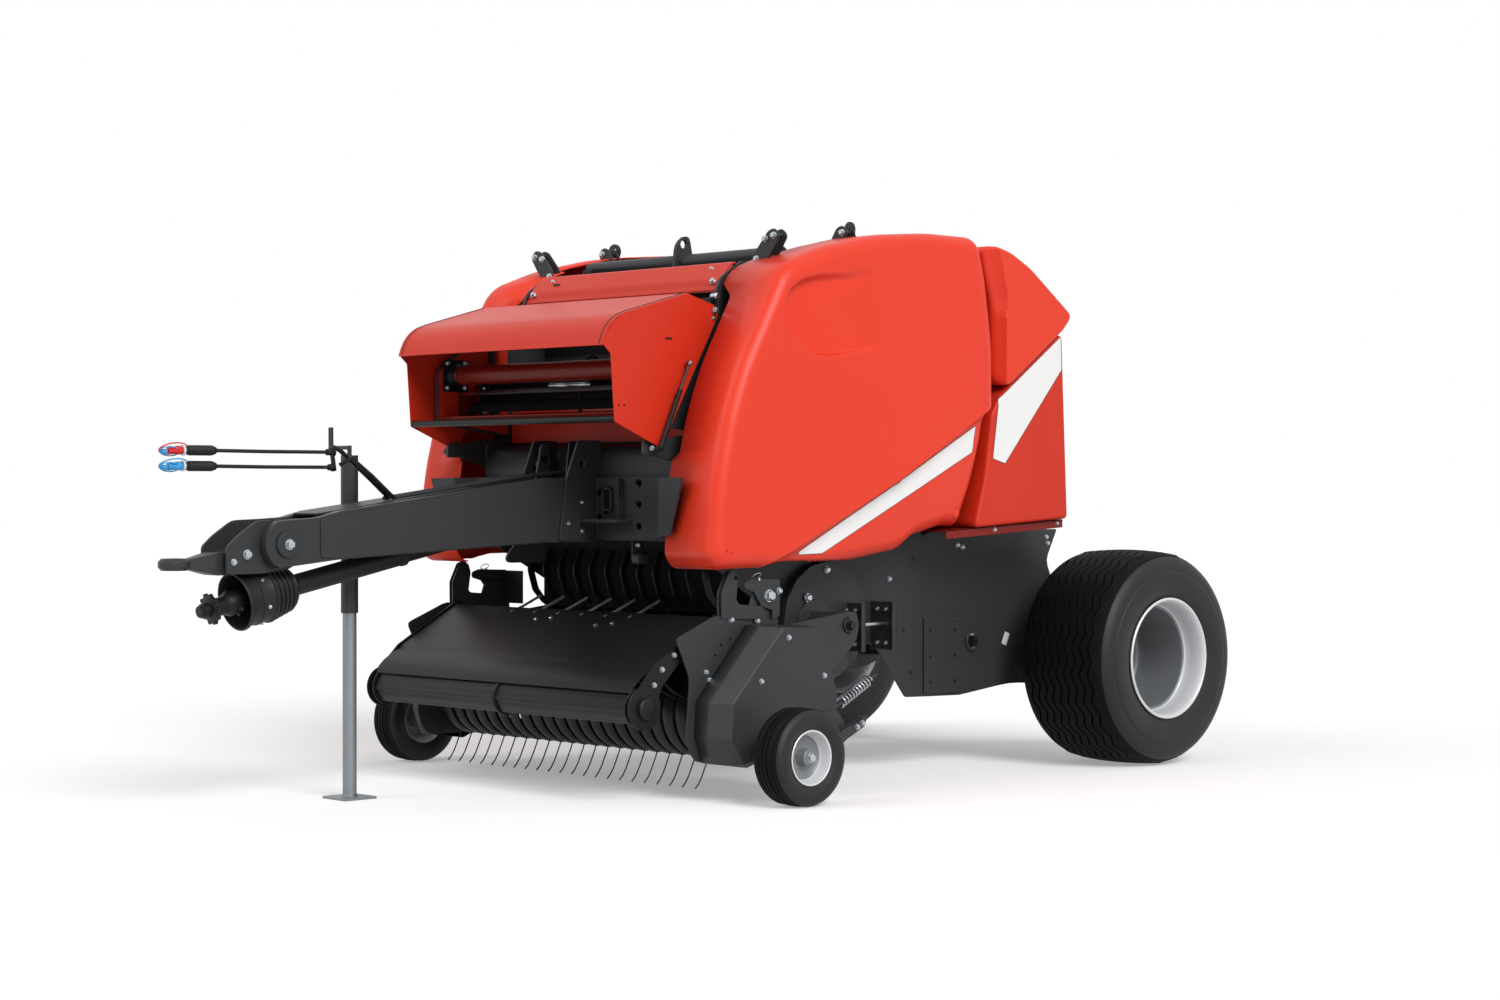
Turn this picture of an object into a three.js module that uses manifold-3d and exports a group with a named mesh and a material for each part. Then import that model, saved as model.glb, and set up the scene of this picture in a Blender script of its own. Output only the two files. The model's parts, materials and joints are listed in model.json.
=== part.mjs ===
// A trailed round baler, built up from named sub-parts in millimetres, +Z up.
//
// The machine points along -Y: the towing eye is at the front, the tailgate at the rear.
// Every position below is measured from the rear axle's line (y = 0) and the ground (z = 0),
// with x = 0 on the machine's centre line. The whole group is moved along Y at the end, so
// that the origin lies on the ground under the middle of the machine's length.

import * as THREE from 'three';
import Module from 'manifold-3d';
import { mergeVertices } from 'three/addons/utils/BufferGeometryUtils.js';

const wasm = await Module();
wasm.setup();

// ---------------------------------------------------------------- driving dimensions

// Clearance between pieces that touch, and the running clearance of a shaft in its hole.
const GAP = 0.3;
const RUNNING = 0.8;

// Bale chamber: half its clear width, and its steel sides.
const CHAMBER_HALF = 600;
const SIDE_WALL = 12;
const SIDE_OUTER = CHAMBER_HALF + SIDE_WALL;

// Rear wheels: 500/50-17 tyres on deep dish rims.
const TYRE_RADIUS = 466;
const TYRE_WIDTH = 496;
const TYRE_INNER_X = SIDE_OUTER + 130;
const RIM_RADIUS = 250;
const HUB_RADIUS = 62;
const STUB_RADIUS = 38;
const WHEEL_SIDES = 20;

// Gauge wheels: 15x6.00-6 tyres at the ends of the pickup.
const GAUGE_RADIUS = 187.5;
const GAUGE_WIDTH = 153;
const GAUGE_OUTER_X = SIDE_OUTER + 672;
const GAUGE_RIM_RADIUS = 106;
const GAUGE_AXLE_RADIUS = 15;
const GAUGE_Y = -2222;
const GAUGE_SIDES = 16;

// Towing eye: how far its tip lies ahead of the rear axle, and how high.
const EYE_TIP_Y = -4254;
const EYE_Z = 928;
const EYE_OUTER = 58;
const EYE_HOLE = 20;
const EYE_BAR = 22;

// Chassis and bale chamber.
const CHAMBER_Y = -1130;
const CHAMBER_Z = 1440;
const CHAMBER_RADIUS = 600;
const PLATE_SEAM_Y = -900;

// Doors (gull-wing side panels): a moulded tub, its skin and its two levels.
const DOOR_X = SIDE_OUTER + 338;
const DOOR_BAND_X = DOOR_X - 22;
const DOOR_SKIN = 12;
const DOOR_INNER_X = SIDE_OUTER + 90;
const DOOR_HINGE_X = SIDE_OUTER + 138;
const DOOR_HINGE_FRONT = { y: -1889, z: 2207 };
const DOOR_HINGE_REAR = { y: -1503, z: 2242 };
const DOOR_SLEEVE_RADIUS = 17;
const DOOR_SLEEVE_LENGTH = 30;
const DOOR_PIN_RADIUS = 8;

// Tailgate.
const GATE_HALF = CHAMBER_HALF - 10;
const GATE_WALL = 10;
const GATE_PANEL_X = DOOR_X - 42;
const SPOILER_X = DOOR_X - 20;
const GATE_PIVOT = { y: -880, z: 2185 };
const GATE_PIN_RADIUS = 20;

// Net box hood and what is under it.
const HOOD_HALF = SIDE_OUTER + 38;
const HOOD_SHEET = 5;
const HOOD_HINGE = { y: -2146, z: 1902 };
const STRUT_FOOT = { y: -2452, z: 1357 };
const STRUT_EYE = { y: -2302, z: 1689 };
const STRUT_X = HOOD_HALF + 26;
const NET_ROLLER = { y: -2470, z: 1671 };
const NET_ROLLER_RADIUS = 27;

// Drawbar.
const BEAM_INNER = 88;
const BEAM_THICK = 46;
const BEAM_REAR_Y = -2300;
const DRAWBAR_PIN = { y: -3800, z: 997 };

// Drive shaft for the tractor: its axis rises towards the gearbox.
const SHAFT_FRONT = { y: -4094, z: 752 };
const SHAFT_SLOPE = 0.214;
const SHAFT_RADIUS = 18;
const SHIELD_RADIUS = 108;
const TUBE_RADIUS = 40;
const GEARBOX_FRONT_Y = -2560;

// Pickup.
const ROTOR = { y: -1600, z: 650 };
const ROTOR_RADIUS = 225;
const ROTOR_SHAFT_RADIUS = 60;
const PICKUP_PIN_RADIUS = 30;
const REEL = { y: -2238, z: 330 };
const TINE_TIP_RADIUS = 285;
const TINE_SPACING = 74.4;
const TINE_COLUMNS = 22;
const TINE_BARS = 4;
const REEL_BAR_RADIUS = 118;
const BAND_RADIUS = 176;
const BAND_WIDTH = 46;
const PICKUP_PLATE_X = SIDE_OUTER + 234;
const PICKUP_PLATE = 8;
const COVER_X = PICKUP_PLATE_X + 154;
const GUARD_PIVOT = { y: -2286, z: 700 };
const GUARD_ROLLER = { y: -2671, z: 372 };
const GUARD_ROLLER_RADIUS = 62;
const GUARD_HALF = PICKUP_PLATE_X - 18;

// Parking jack, on the right of the drawbar.
const JACK_Y = -3300;
const JACK_TUBE_RADIUS = 34;
const JACK_LEG_RADIUS = 27;
const JACK_TRAVEL = 320;

// Colours.
const RED = 0xdc3a22;
const DEEP_RED = 0x7c1a10;
const CHARCOAL = 0x3a3b3d;
const BLACK = 0x17181a;
const RUBBER = 0x101112;
const SILVER = 0xc9ccce;
const ZINC = 0xaab0b3;
const AMBER = 0xc2451a;

// ---------------------------------------------------------------- helpers

const baler = new THREE.Group();

function finish(color, roughness, metalness) {
  return new THREE.MeshStandardMaterial({ color, roughness, metalness });
}

// A closed three.js geometry as a solid that can be joined and cut.
function solid(geometry) {
  const plain = geometry.clone();
  plain.deleteAttribute('normal');
  plain.deleteAttribute('uv');
  const merged = mergeVertices(plain, 1e-3);
  const mesh = new wasm.Mesh({
    numProp: 3,
    vertProperties: new Float32Array(merged.attributes.position.array),
    triVerts: new Uint32Array(merged.index.array),
  });
  return new wasm.Manifold(mesh);
}

function join(...pieces) {
  return pieces.flat().reduce((whole, piece) => whole.add(piece));
}

function cut(piece, ...tools) {
  return tools.flat().reduce((whole, tool) => whole.subtract(tool), piece);
}

function geometryOf(body) {
  const mesh = body.getMesh();
  const geometry = new THREE.BufferGeometry();
  geometry.setAttribute('position', new THREE.BufferAttribute(mesh.vertProperties, 3));
  geometry.setIndex(new THREE.BufferAttribute(mesh.triVerts, 1));
  geometry.computeVertexNormals();
  return geometry;
}

function place(name, body, material) {
  const mesh = new THREE.Mesh(geometryOf(body), material);
  mesh.name = name;
  baler.add(mesh);
}

// A pair of sub-parts, one on each side: make(side) gets +1 for the left and -1 for the right.
function placePair(name, make, material) {
  for (const [word, side] of [['left', 1], ['right', -1]]) {
    place(`${name}_${word}`, make(side), material);
  }
}

// Outline points are [along, up] or [along, up, corner radius].
function outline(points) {
  const shape = new THREE.Shape();
  points.forEach(([a, b, radius = 0], i) => {
    const here = new THREE.Vector2(a, b);
    if (radius === 0) {
      if (i === 0) shape.moveTo(a, b);
      else shape.lineTo(a, b);
      return;
    }
    const before = points[(i + points.length - 1) % points.length];
    const after = points[(i + 1) % points.length];
    const start = towards(here, before, radius);
    const end = towards(here, after, radius);
    if (i === 0) shape.moveTo(start.x, start.y);
    else shape.lineTo(start.x, start.y);
    shape.quadraticCurveTo(a, b, end.x, end.y);
  });
  return shape;
}

// The point at a corner radius from a corner, well short of half way to its neighbour.
function towards(corner, neighbour, radius) {
  const step = new THREE.Vector2(neighbour[0], neighbour[1]).sub(corner);
  const length = Math.min(radius, step.length() * 0.38);
  return corner.clone().add(step.normalize().multiplyScalar(length));
}

function extrude(shape, depth, curveSegments = 2) {
  const options = { depth, bevelEnabled: false, curveSegments };
  return new THREE.ExtrudeGeometry(shape, options);
}

// A plate whose outline is drawn in [y, z], between two x values, with round holes in it.
function plateYZ(points, x0, x1, holes = [], curveSegments = 2) {
  const shape = outline(points);
  shape.holes = holes.map(([y, z, r]) => circle(y, z, r));
  const geometry = extrude(shape, Math.abs(x1 - x0), curveSegments);
  // Local x, y, z become machine y, z, x.
  geometry.applyMatrix4(new THREE.Matrix4().set(0, 0, 1, 0, 1, 0, 0, 0, 0, 1, 0, 0, 0, 0, 0, 1));
  geometry.translate(Math.min(x0, x1), 0, 0);
  return solid(geometry);
}

// A plate whose outline is drawn in [x, z], between two y values.
function plateXZ(points, y0, y1, holes = []) {
  const shape = outline(points);
  shape.holes = holes.map(([x, z, r]) => circle(x, z, r));
  const geometry = extrude(shape, Math.abs(y1 - y0));
  geometry.rotateX(Math.PI / 2);
  geometry.translate(0, Math.max(y0, y1), 0);
  return solid(geometry);
}

// A plate whose outline is drawn in [x, y], between two z values.
function plateXY(points, z0, z1, holes = []) {
  const shape = outline(points);
  shape.holes = holes.map(([x, y, r]) => circle(x, y, r));
  const geometry = extrude(shape, Math.abs(z1 - z0));
  geometry.translate(0, 0, Math.min(z0, z1));
  return solid(geometry);
}

// A round hole as a polygon whose flats touch the circle, so a shaft always clears it.
function circle(a, b, inRadius, sides = 8) {
  const radius = inRadius / Math.cos(Math.PI / sides);
  const path = new THREE.Path();
  for (let i = 0; i <= sides; i += 1) {
    const angle = (2 * Math.PI * i) / sides;
    const at = [a + radius * Math.cos(angle), b + radius * Math.sin(angle)];
    if (i === 0) path.moveTo(...at);
    else path.lineTo(...at);
  }
  return path;
}

// The points of an arc in [y, z] round a centre, from one angle to another in degrees.
function arc(centre, radius, from, to, steps) {
  const points = [];
  for (let i = 0; i <= steps; i += 1) {
    const angle = THREE.MathUtils.degToRad(from + ((to - from) * i) / steps);
    points.push([centre.y + radius * Math.cos(angle), centre.z + radius * Math.sin(angle)]);
  }
  return points;
}

function block(x0, x1, y0, y1, z0, z1) {
  const geometry = new THREE.BoxGeometry(Math.abs(x1 - x0), Math.abs(y1 - y0), Math.abs(z1 - z0));
  geometry.translate((x0 + x1) / 2, (y0 + y1) / 2, (z0 + z1) / 2);
  return solid(geometry);
}

// A round bar from one point to another.
function bar(from, to, radius, sides = 12) {
  const a = new THREE.Vector3(...from);
  const b = new THREE.Vector3(...to);
  const geometry = new THREE.CylinderGeometry(radius, radius, a.distanceTo(b), sides);
  const along = b.clone().sub(a).normalize();
  const turn = new THREE.Quaternion().setFromUnitVectors(new THREE.Vector3(0, 1, 0), along);
  geometry.applyQuaternion(turn);
  geometry.translate(...a.clone().add(b).multiplyScalar(0.5).toArray());
  return solid(geometry);
}

// A turned piece: profile points are [radius, along], and the axis runs from a point in a direction.
function turned(profile, origin, direction, sides = 24) {
  const points = profile.map(([radius, along]) => new THREE.Vector2(radius, along));
  const geometry = new THREE.LatheGeometry(points, sides);
  const along = new THREE.Vector3(...direction).normalize();
  const turn = new THREE.Quaternion().setFromUnitVectors(new THREE.Vector3(0, 1, 0), along);
  geometry.applyQuaternion(turn);
  geometry.translate(...origin);
  const body = solid(geometry);
  return body.volume() < 0 ? solid(flipped(geometry)) : body;
}

// The same geometry with its faces turned the other way.
function flipped(geometry) {
  const copy = geometry.clone();
  const index = copy.index.array;
  for (let i = 0; i < index.length; i += 3) {
    [index[i], index[i + 1]] = [index[i + 1], index[i]];
  }
  return copy;
}

// A moulded tub seen from the side: an outline with a rounded outer edge, open on its inner side.
function tub(points, innerX, outerX, round, side) {
  const options = {
    depth: outerX - innerX + 200 - round,
    bevelEnabled: true,
    bevelThickness: round,
    bevelSize: round,
    bevelOffset: -round,
    bevelSegments: 2,
    curveSegments: 2,
  };
  const geometry = new THREE.ExtrudeGeometry(outline(points), options);
  geometry.applyMatrix4(new THREE.Matrix4().set(0, 0, 1, 0, 1, 0, 0, 0, 0, 1, 0, 0, 0, 0, 0, 1));
  geometry.translate(innerX - 200, 0, 0);
  const whole = solid(geometry);
  const trimmed = cut(whole, block(innerX - 600, innerX, -6000, 2000, -500, 4000));
  return side > 0 ? trimmed : mirrored(trimmed);
}

// The same solid on the other side of the machine.
function mirrored(body) {
  const geometry = geometryOf(body);
  geometry.scale(-1, 1, 1);
  return solid(flipped(geometry));
}

// ---------------------------------------------------------------- rear wheels

const redPaint = finish(RED, 0.35, 0.1);
const darkPaint = finish(CHARCOAL, 0.5, 0.3);
const blackPaint = finish(BLACK, 0.45, 0.3);
const rubber = finish(RUBBER, 0.85, 0);
const silverPaint = finish(SILVER, 0.35, 0.6);
const zinc = finish(ZINC, 0.35, 0.8);

function rearTyre(side) {
  const half = TYRE_WIDTH / 2;
  const bead = RIM_RADIUS + GAP;
  const tread = half - 26;
  const shoulder = TYRE_RADIUS - 14;
  const bulge = TYRE_RADIUS * 0.78;
  const outer = [[bead, -half + 22], [bead + 30, -half + 4], [bulge, -half], [shoulder - 26, -half + 8],
    [shoulder, -tread], [TYRE_RADIUS, -tread * 0.72]];
  const across = outer.map(([radius, along]) => [radius, -along]).reverse();
  const profile = [...outer, ...across, outer[0]];
  return turned(profile, [side * (TYRE_INNER_X + half), 0, TYRE_RADIUS], [side, 0, 0], WHEEL_SIDES);
}

function rearRim(side) {
  const half = TYRE_WIDTH / 2;
  const flange = RIM_RADIUS;
  const well = RIM_RADIUS - 34;
  const disc = -half + 150;
  const bore = STUB_RADIUS + RUNNING;
  const profile = [[flange, half - 6], [flange, half - 24], [well, 40], [well, -half + 46],
    [flange, -half + 30], [flange, -half + 16], [well - 12, -half + 36], [well - 12, disc - 12],
    [HUB_RADIUS, disc - 12], [HUB_RADIUS, disc - 60], [bore, disc - 60], [bore, disc + 40],
    [HUB_RADIUS - 8, disc + 40], [HUB_RADIUS, disc], [well - 12, disc], [well - 12, 50],
    [flange - 8, half - 6]];
  profile.push(profile[0]);
  return turned(profile, [side * (TYRE_INNER_X + half), 0, TYRE_RADIUS], [side, 0, 0], WHEEL_SIDES);
}

const discX = TYRE_INNER_X + 150;

function stubAxle(side) {
  const profile = [[0, 0], [80, 0], [80, 16], [52, 22], [STUB_RADIUS, 40],
    [STUB_RADIUS, discX + 20 - SIDE_OUTER], [0, discX + 20 - SIDE_OUTER]];
  return turned(profile, [side * (SIDE_OUTER - 1), 0, TYRE_RADIUS], [side, 0, 0], 14);
}

placePair('rear_tyre', rearTyre, rubber);
placePair('rear_rim', rearRim, silverPaint);
const axleReach = CHAMBER_HALF - GAP;
place('axle_beam', block(-axleReach, axleReach, -58, 58, TYRE_RADIUS - 58, TYRE_RADIUS + 58), darkPaint);

// ---------------------------------------------------------------- chamber and chassis

// Points on a door's hinge line, which rises slightly towards the rear.
const hingeLine = new THREE.Vector2(DOOR_HINGE_REAR.y - DOOR_HINGE_FRONT.y,
  DOOR_HINGE_REAR.z - DOOR_HINGE_FRONT.z).normalize();
function onHinge(hinge, side, distance) {
  return [side * DOOR_HINGE_X, hinge.y + hingeLine.x * distance, hinge.z + hingeLine.y * distance];
}

// Hinge ears of the doors: a rail on the chamber side carries two pairs of gussets and pins.
function hingeRail(side) {
  const rail = block(side * (SIDE_OUTER - 1), side * (SIDE_OUTER + 40), -1950, -1440, 2050, 2092);
  const pieces = [rail];
  for (const hinge of [DOOR_HINGE_FRONT, DOOR_HINGE_REAR]) {
    const foot = SIDE_OUTER;
    const eye = DOOR_HINGE_X;
    const ear = [[foot + 8, 2060], [foot + 28, 2150, 10], [eye - 35, hinge.z + 22, 14],
      [eye, hinge.z + 30, 14], [eye + 32, hinge.z, 16], [eye - 10, hinge.z - 60, 20],
      [foot + 48, 2060]].map(([x, z, radius]) => [side * x, z, radius]);
    const spread = DOOR_SLEEVE_LENGTH / 2 + DOOR_SLEEVE_RADIUS * hingeLine.y + GAP;
    for (const offset of [-spread - 8, spread]) {
      pieces.push(plateXZ(ear, hinge.y + offset, hinge.y + offset + 8));
    }
    const pinEnd = spread + 12;
    pieces.push(bar(onHinge(hinge, side, -pinEnd), onHinge(hinge, side, pinEnd), DOOR_PIN_RADIUS, 8));
  }
  return join(...pieces);
}

function strutBracket(side) {
  const reach = STRUT_X - 10 - GAP;
  const foot = [[-2470, 1340, 8], [-2470, 1374, 8], [-2280, 1412], [-2280, 1290]];
  return join(
    plateYZ(foot, side * (SIDE_OUTER - 1), side * (SIDE_OUTER + 14)),
    bar([side * (SIDE_OUTER + 4), STRUT_FOOT.y, STRUT_FOOT.z], [side * reach, STRUT_FOOT.y, STRUT_FOOT.z], 7, 10),
  );
}

// Rotor housing with the boss and the pin on which the pickup swings.
function rotorHousing(side) {
  const shaftEnd = SIDE_OUTER + 42;
  const housing = bar([side * (SIDE_OUTER - 1), -1524, 662], [side * shaftEnd, -1524, 662], 240, 16);
  const cap = bar([side * (shaftEnd - 1), ROTOR.y, ROTOR.z], [side * (shaftEnd + 12), ROTOR.y, ROTOR.z], 100, 12);
  const boss = bar([side * shaftEnd, ROTOR.y, ROTOR.z], [side * (PICKUP_PLATE_X - GAP), ROTOR.y, ROTOR.z], 52, 12);
  const pin = bar([side * shaftEnd, ROTOR.y, ROTOR.z],
    [side * (PICKUP_PLATE_X + PICKUP_PLATE + 8), ROTOR.y, ROTOR.z], PICKUP_PIN_RADIUS, 12);
  const bore = bar([side * CHAMBER_HALF, ROTOR.y, ROTOR.z], [side * shaftEnd, ROTOR.y, ROTOR.z],
    ROTOR_SHAFT_RADIUS + RUNNING, 12);
  return join(cut(housing, bore), cap, boss, pin);
}

function chamberSide(side) {
  const front = BEAM_REAR_Y + 1 + GAP;
  const points = [[front, 985, 30], [front, 1390, 20], [-2200, 1420], [-2560, 1470, 20], [-2560, 1700, 30],
    [-2190, 1945, 20], [-2110, 1960], [-2075, 2040, 20], [-1960, 2112, 20],
    [GATE_PIVOT.y - 200, GATE_PIVOT.z - 66], [GATE_PIVOT.y - 90, GATE_PIVOT.z - 60, 20],
    ...arc(GATE_PIVOT, 48, 165, -50, 12), [-930, 2060, 20], [-945, 1960, 20],
    [-945, 1040, 30], [PLATE_SEAM_Y, 1000],
    [PLATE_SEAM_Y, 313], [-1005, 316, 10], [-1190, 545, 30], [-1290, 560], [-1790, 500, 60],
    [-1880, 760, 60]];
  const pivot = [GATE_PIVOT.y, GATE_PIVOT.z, GATE_PIN_RADIUS + RUNNING];
  const bearing = [ROTOR.y, ROTOR.z, ROTOR_SHAFT_RADIUS + RUNNING];
  const sheet = plateYZ(points, side * CHAMBER_HALF, side * SIDE_OUTER, [pivot, bearing]);
  return join(sheet, hingeRail(side), strutBracket(side), rotorHousing(side));
}

function chassisPlate(side) {
  const front = PLATE_SEAM_Y + GAP;
  const points = [[front, 1000], [-860, 1015, 10], [-20, 1018, 10], [-95, 880, 30], [40, 590, 60],
    [120, 560, 30], [120, 380, 40], [-60, 330, 60], [-342, 345, 60], [-668, 308, 10], [front, 313]];
  const sheet = plateYZ(points, side * CHAMBER_HALF, side * SIDE_OUTER, [[-591, 540, 34]]);
  const boltPlate = [[front, 325, 8], [front, 652, 8], [-672, 640, 8], [-672, 322, 8]];
  const bolted = plateYZ(boltPlate, side * (SIDE_OUTER - 1), side * (SIDE_OUTER + 9));
  return join(sheet, bolted, stubAxle(side));
}

placePair('chamber_side', chamberSide, darkPaint);
placePair('chassis_plate', chassisPlate, darkPaint);

// A bent sheet across the machine: its path in [y, z], thickened on one side.
function bentSheet(path, thickness, x0, x1) {
  const back = path.map(([y, z], i) => {
    const before = path[Math.max(i - 1, 0)];
    const after = path[Math.min(i + 1, path.length - 1)];
    const along = new THREE.Vector2(after[0] - before[0], after[1] - before[1]).normalize();
    return [y + along.y * thickness, z - along.x * thickness];
  });
  return plateYZ([...path, ...back.reverse()], x0, x1);
}

const across = CHAMBER_HALF - GAP;

const roofPath = [[-1975, 2070], [-1945, 2096], [-1070, 2110]];
const roof = bentSheet(roofPath, 8, -across, across);
const roofRib = block(-across, across, -1500, -1440, 2060, 2100);
place('chamber_roof', join(roof, roofRib), darkPaint);

const frontPath = [[-2150, 1384], [-2150, 1560], [-1985, 1760], [-1985, 1990]];
place('chamber_front', bentSheet(frontPath, 8, -across, across), redPaint);

const crossbarPath = [[-2088, 1990], [-2062, 2030], [-1996, 2104], [-1978, 2104]];
place('crossbar', bentSheet(crossbarPath, 6, -across, across), redPaint);

// ---------------------------------------------------------------- front beam and drawbar

function mountPlates(side) {
  const inner = BEAM_INNER + BEAM_THICK + GAP;
  const cheek = [[-2520, 990, 20], [-2480, 1245, 20], [-2420, 1395, 16], [BEAM_REAR_Y + 1, 1395],
    [BEAM_REAR_Y + 1, 985]];
  const cheekPlate = plateYZ(cheek, side * inner, side * (inner + 12), [[-2400, 1300, 13]]);
  const face = [[inner, 1000, 4], [inner, 1246, 4], [SIDE_OUTER + 48, 1246, 10], [SIDE_OUTER + 28, 1000, 20]];
  const slots = [[390, 1225, 11], [390, 1140, 11], [390, 1052, 11], [200, 1110, 11], [215, 1200, 11]];
  const facePlate = plateXZ(
    face.map(([x, z, r]) => [side * x, z, r]),
    BEAM_REAR_Y - 22,
    BEAM_REAR_Y + 1,
    slots.map(([x, z, r]) => [side * x, z, r]),
  );
  const shelf = block(side * inner, side * 370, -2420, BEAM_REAR_Y, 1066, 1078);
  return join(cheekPlate, facePlate, shelf);
}

const beamOutline = [[BEAM_REAR_Y, 1140, 20], [BEAM_REAR_Y, 1330, 60], [-2250, 1382, 40],
  [-2130, 1382, 30], [-2100, 1340, 30], [-2100, 1150, 30]];
const apron = [[-2296, 992], [-2296, 1160], [-2280, 1160], [-2280, 1000], [-2130, 1000],
  [-1900, 900], [-1904, 892], [-2132, 992]];
const frontBeam = join(
  plateYZ(beamOutline, -across, across),
  plateYZ(apron, -across, across),
  mountPlates(1),
  mountPlates(-1),
);
place('front_beam', frontBeam, darkPaint);

function drawbarBeam(side) {
  const rear = BEAM_REAR_Y - GAP - 22;
  const points = [...arc(DRAWBAR_PIN, 92, 250, 110, 8), [-3660, 1094], [-3560, 1118], [-2560, 1244, 30],
    [rear, 1244], [rear, 986], [-2560, 986], [-3560, 938]];
  const hole = [DRAWBAR_PIN.y, DRAWBAR_PIN.z, 17];
  return plateYZ(points, side * BEAM_INNER, side * (BEAM_INNER + BEAM_THICK), [hole]);
}

placePair('drawbar_beam', drawbarBeam, darkPaint);

// A point on the drive shaft's axis.
function onShaft(y) {
  return [0, y, SHAFT_FRONT.z + SHAFT_SLOPE * (y - SHAFT_FRONT.y)];
}

// The head between the beams: two cheeks, a web, and the pin that goes through the beams.
const headHalf = BEAM_INNER - GAP;
const headInner = 76;
// The cheeks' lower edge stays just above the drive shaft's shield.
const shieldRise = Math.sqrt(SHIELD_RADIUS ** 2 - headInner ** 2);
const headBottom = Math.round(onShaft(-3880)[2] + shieldRise) + 15;
const headOutline = [[-4030, headBottom, 20], [-4030, 990, 10], [-3985, 1030, 20], [-3900, 1085, 20],
  [-3700, 1092, 20], [-3700, 940, 20], [-3760, headBottom + 15, 10], [-3880, headBottom, 10]];
const headCheeks = [1, -1].map((side) => plateYZ(headOutline, side * headInner, side * headHalf));
const webBottom = Math.round(onShaft(-3810)[2] + SHIELD_RADIUS) + 9;
const headWeb = block(-headInner - 1, headInner + 1, -3990, -3810, webBottom, webBottom + 45);
const headPin = bar([-BEAM_INNER - BEAM_THICK - 16, DRAWBAR_PIN.y, DRAWBAR_PIN.z],
  [BEAM_INNER + BEAM_THICK + 16, DRAWBAR_PIN.y, DRAWBAR_PIN.z], 16);
place('drawbar_head', join(...headCheeks, headWeb, headPin), darkPaint);

// Towing eye: a ring with flat faces top and bottom, on a tapered shank between the cheeks.
const eyeY = EYE_TIP_Y + EYE_OUTER;
const ringProfile = [[EYE_HOLE, -10], [EYE_HOLE + 9, -EYE_BAR], [EYE_OUTER - 11, -EYE_BAR],
  [EYE_OUTER, -10], [EYE_OUTER, 10], [EYE_OUTER - 11, EYE_BAR], [EYE_HOLE + 9, EYE_BAR],
  [EYE_HOLE, 10], [EYE_HOLE, -10]];
const eyeRing = turned(ringProfile, [0, eyeY, EYE_Z], [0, 0, 1], 24);
const shankOutline = [[eyeY + EYE_OUTER - 20, EYE_Z - 16], [eyeY + EYE_OUTER - 20, EYE_Z + 16],
  [-4040, EYE_Z + 42], [-3990 - GAP, EYE_Z + 42], [-3990 - GAP, EYE_Z - 42], [-4040, EYE_Z - 42]];
const shank = plateYZ(shankOutline, -45.5, 45.5);
const shankTaper = [[-14, eyeY + 30], [14, eyeY + 30], [45.5, -4060], [45.5, -3980], [-45.5, -3980],
  [-45.5, -4060]];
place('towing_eye', join(eyeRing, shank.intersect(plateXY(shankTaper, EYE_Z - 60, EYE_Z + 60))), darkPaint);

// Gearbox between the beams, with its input nose, and the drive shaft with its shield.
const shaftDirection = [0, 1, SHAFT_SLOPE];
const shaftScale = Math.hypot(1, SHAFT_SLOPE);
const gearboxOutline = [[-2500, 985, 30], [-2540, 1060, 30], [-2540, 1180, 30], [-2480, 1222, 30],
  [BEAM_REAR_Y - GAP, 1222], [BEAM_REAR_Y - GAP, 985]];
const gearboxBore = bar(onShaft(GEARBOX_FRONT_Y - 60), onShaft(-2440), SHAFT_RADIUS + RUNNING);
const gearboxNose = bar(onShaft(GEARBOX_FRONT_Y), onShaft(-2480), 52, 20);
const gearbox = cut(join(plateYZ(gearboxOutline, -80, 80), gearboxNose), gearboxBore);
place('gearbox', gearbox, darkPaint);

const shieldLength = (GEARBOX_FRONT_Y - GAP - -3940) * shaftScale;
const bellWall = 5;
const shieldProfile = [[SHIELD_RADIUS - bellWall, 0], [SHIELD_RADIUS, 0], [SHIELD_RADIUS, 14],
  [SHIELD_RADIUS - 8, 20], [SHIELD_RADIUS - 8, 120], [SHIELD_RADIUS, 132], [SHIELD_RADIUS - 10, 146],
  [SHIELD_RADIUS - 2, 160], [SHIELD_RADIUS - 12, 174], [SHIELD_RADIUS - 5, 188],
  [SHIELD_RADIUS - 17, 202], [SHIELD_RADIUS - 11, 216], [SHIELD_RADIUS - 26, 232], [TUBE_RADIUS, 262],
  [TUBE_RADIUS, 760], [TUBE_RADIUS - 6, 764], [TUBE_RADIUS - 6, shieldLength],
  [SHAFT_RADIUS + 4, shieldLength], [SHAFT_RADIUS + 4, 250], [SHIELD_RADIUS - 34, 226],
  [SHIELD_RADIUS - 20, 140], [SHIELD_RADIUS - bellWall - 8, 24]];
shieldProfile.push(shieldProfile[0]);
place('pto_shield', turned(shieldProfile, onShaft(-3940), shaftDirection, 16), blackPaint);

const shaftLength = (-2442 - SHAFT_FRONT.y) * shaftScale;
const shaftProfile = [[0, 0], [22, 0], [28, 6], [28, 40], [52, 46], [52, 62], [34, 76], [34, 110],
  [44, 124], [44, 210], [26, 240], [SHAFT_RADIUS, 262], [SHAFT_RADIUS, shaftLength], [0, shaftLength]];
place('pto_shaft', turned(shaftProfile, onShaft(SHAFT_FRONT.y), shaftDirection, 12), blackPaint);

// ---------------------------------------------------------------- parking jack

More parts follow.
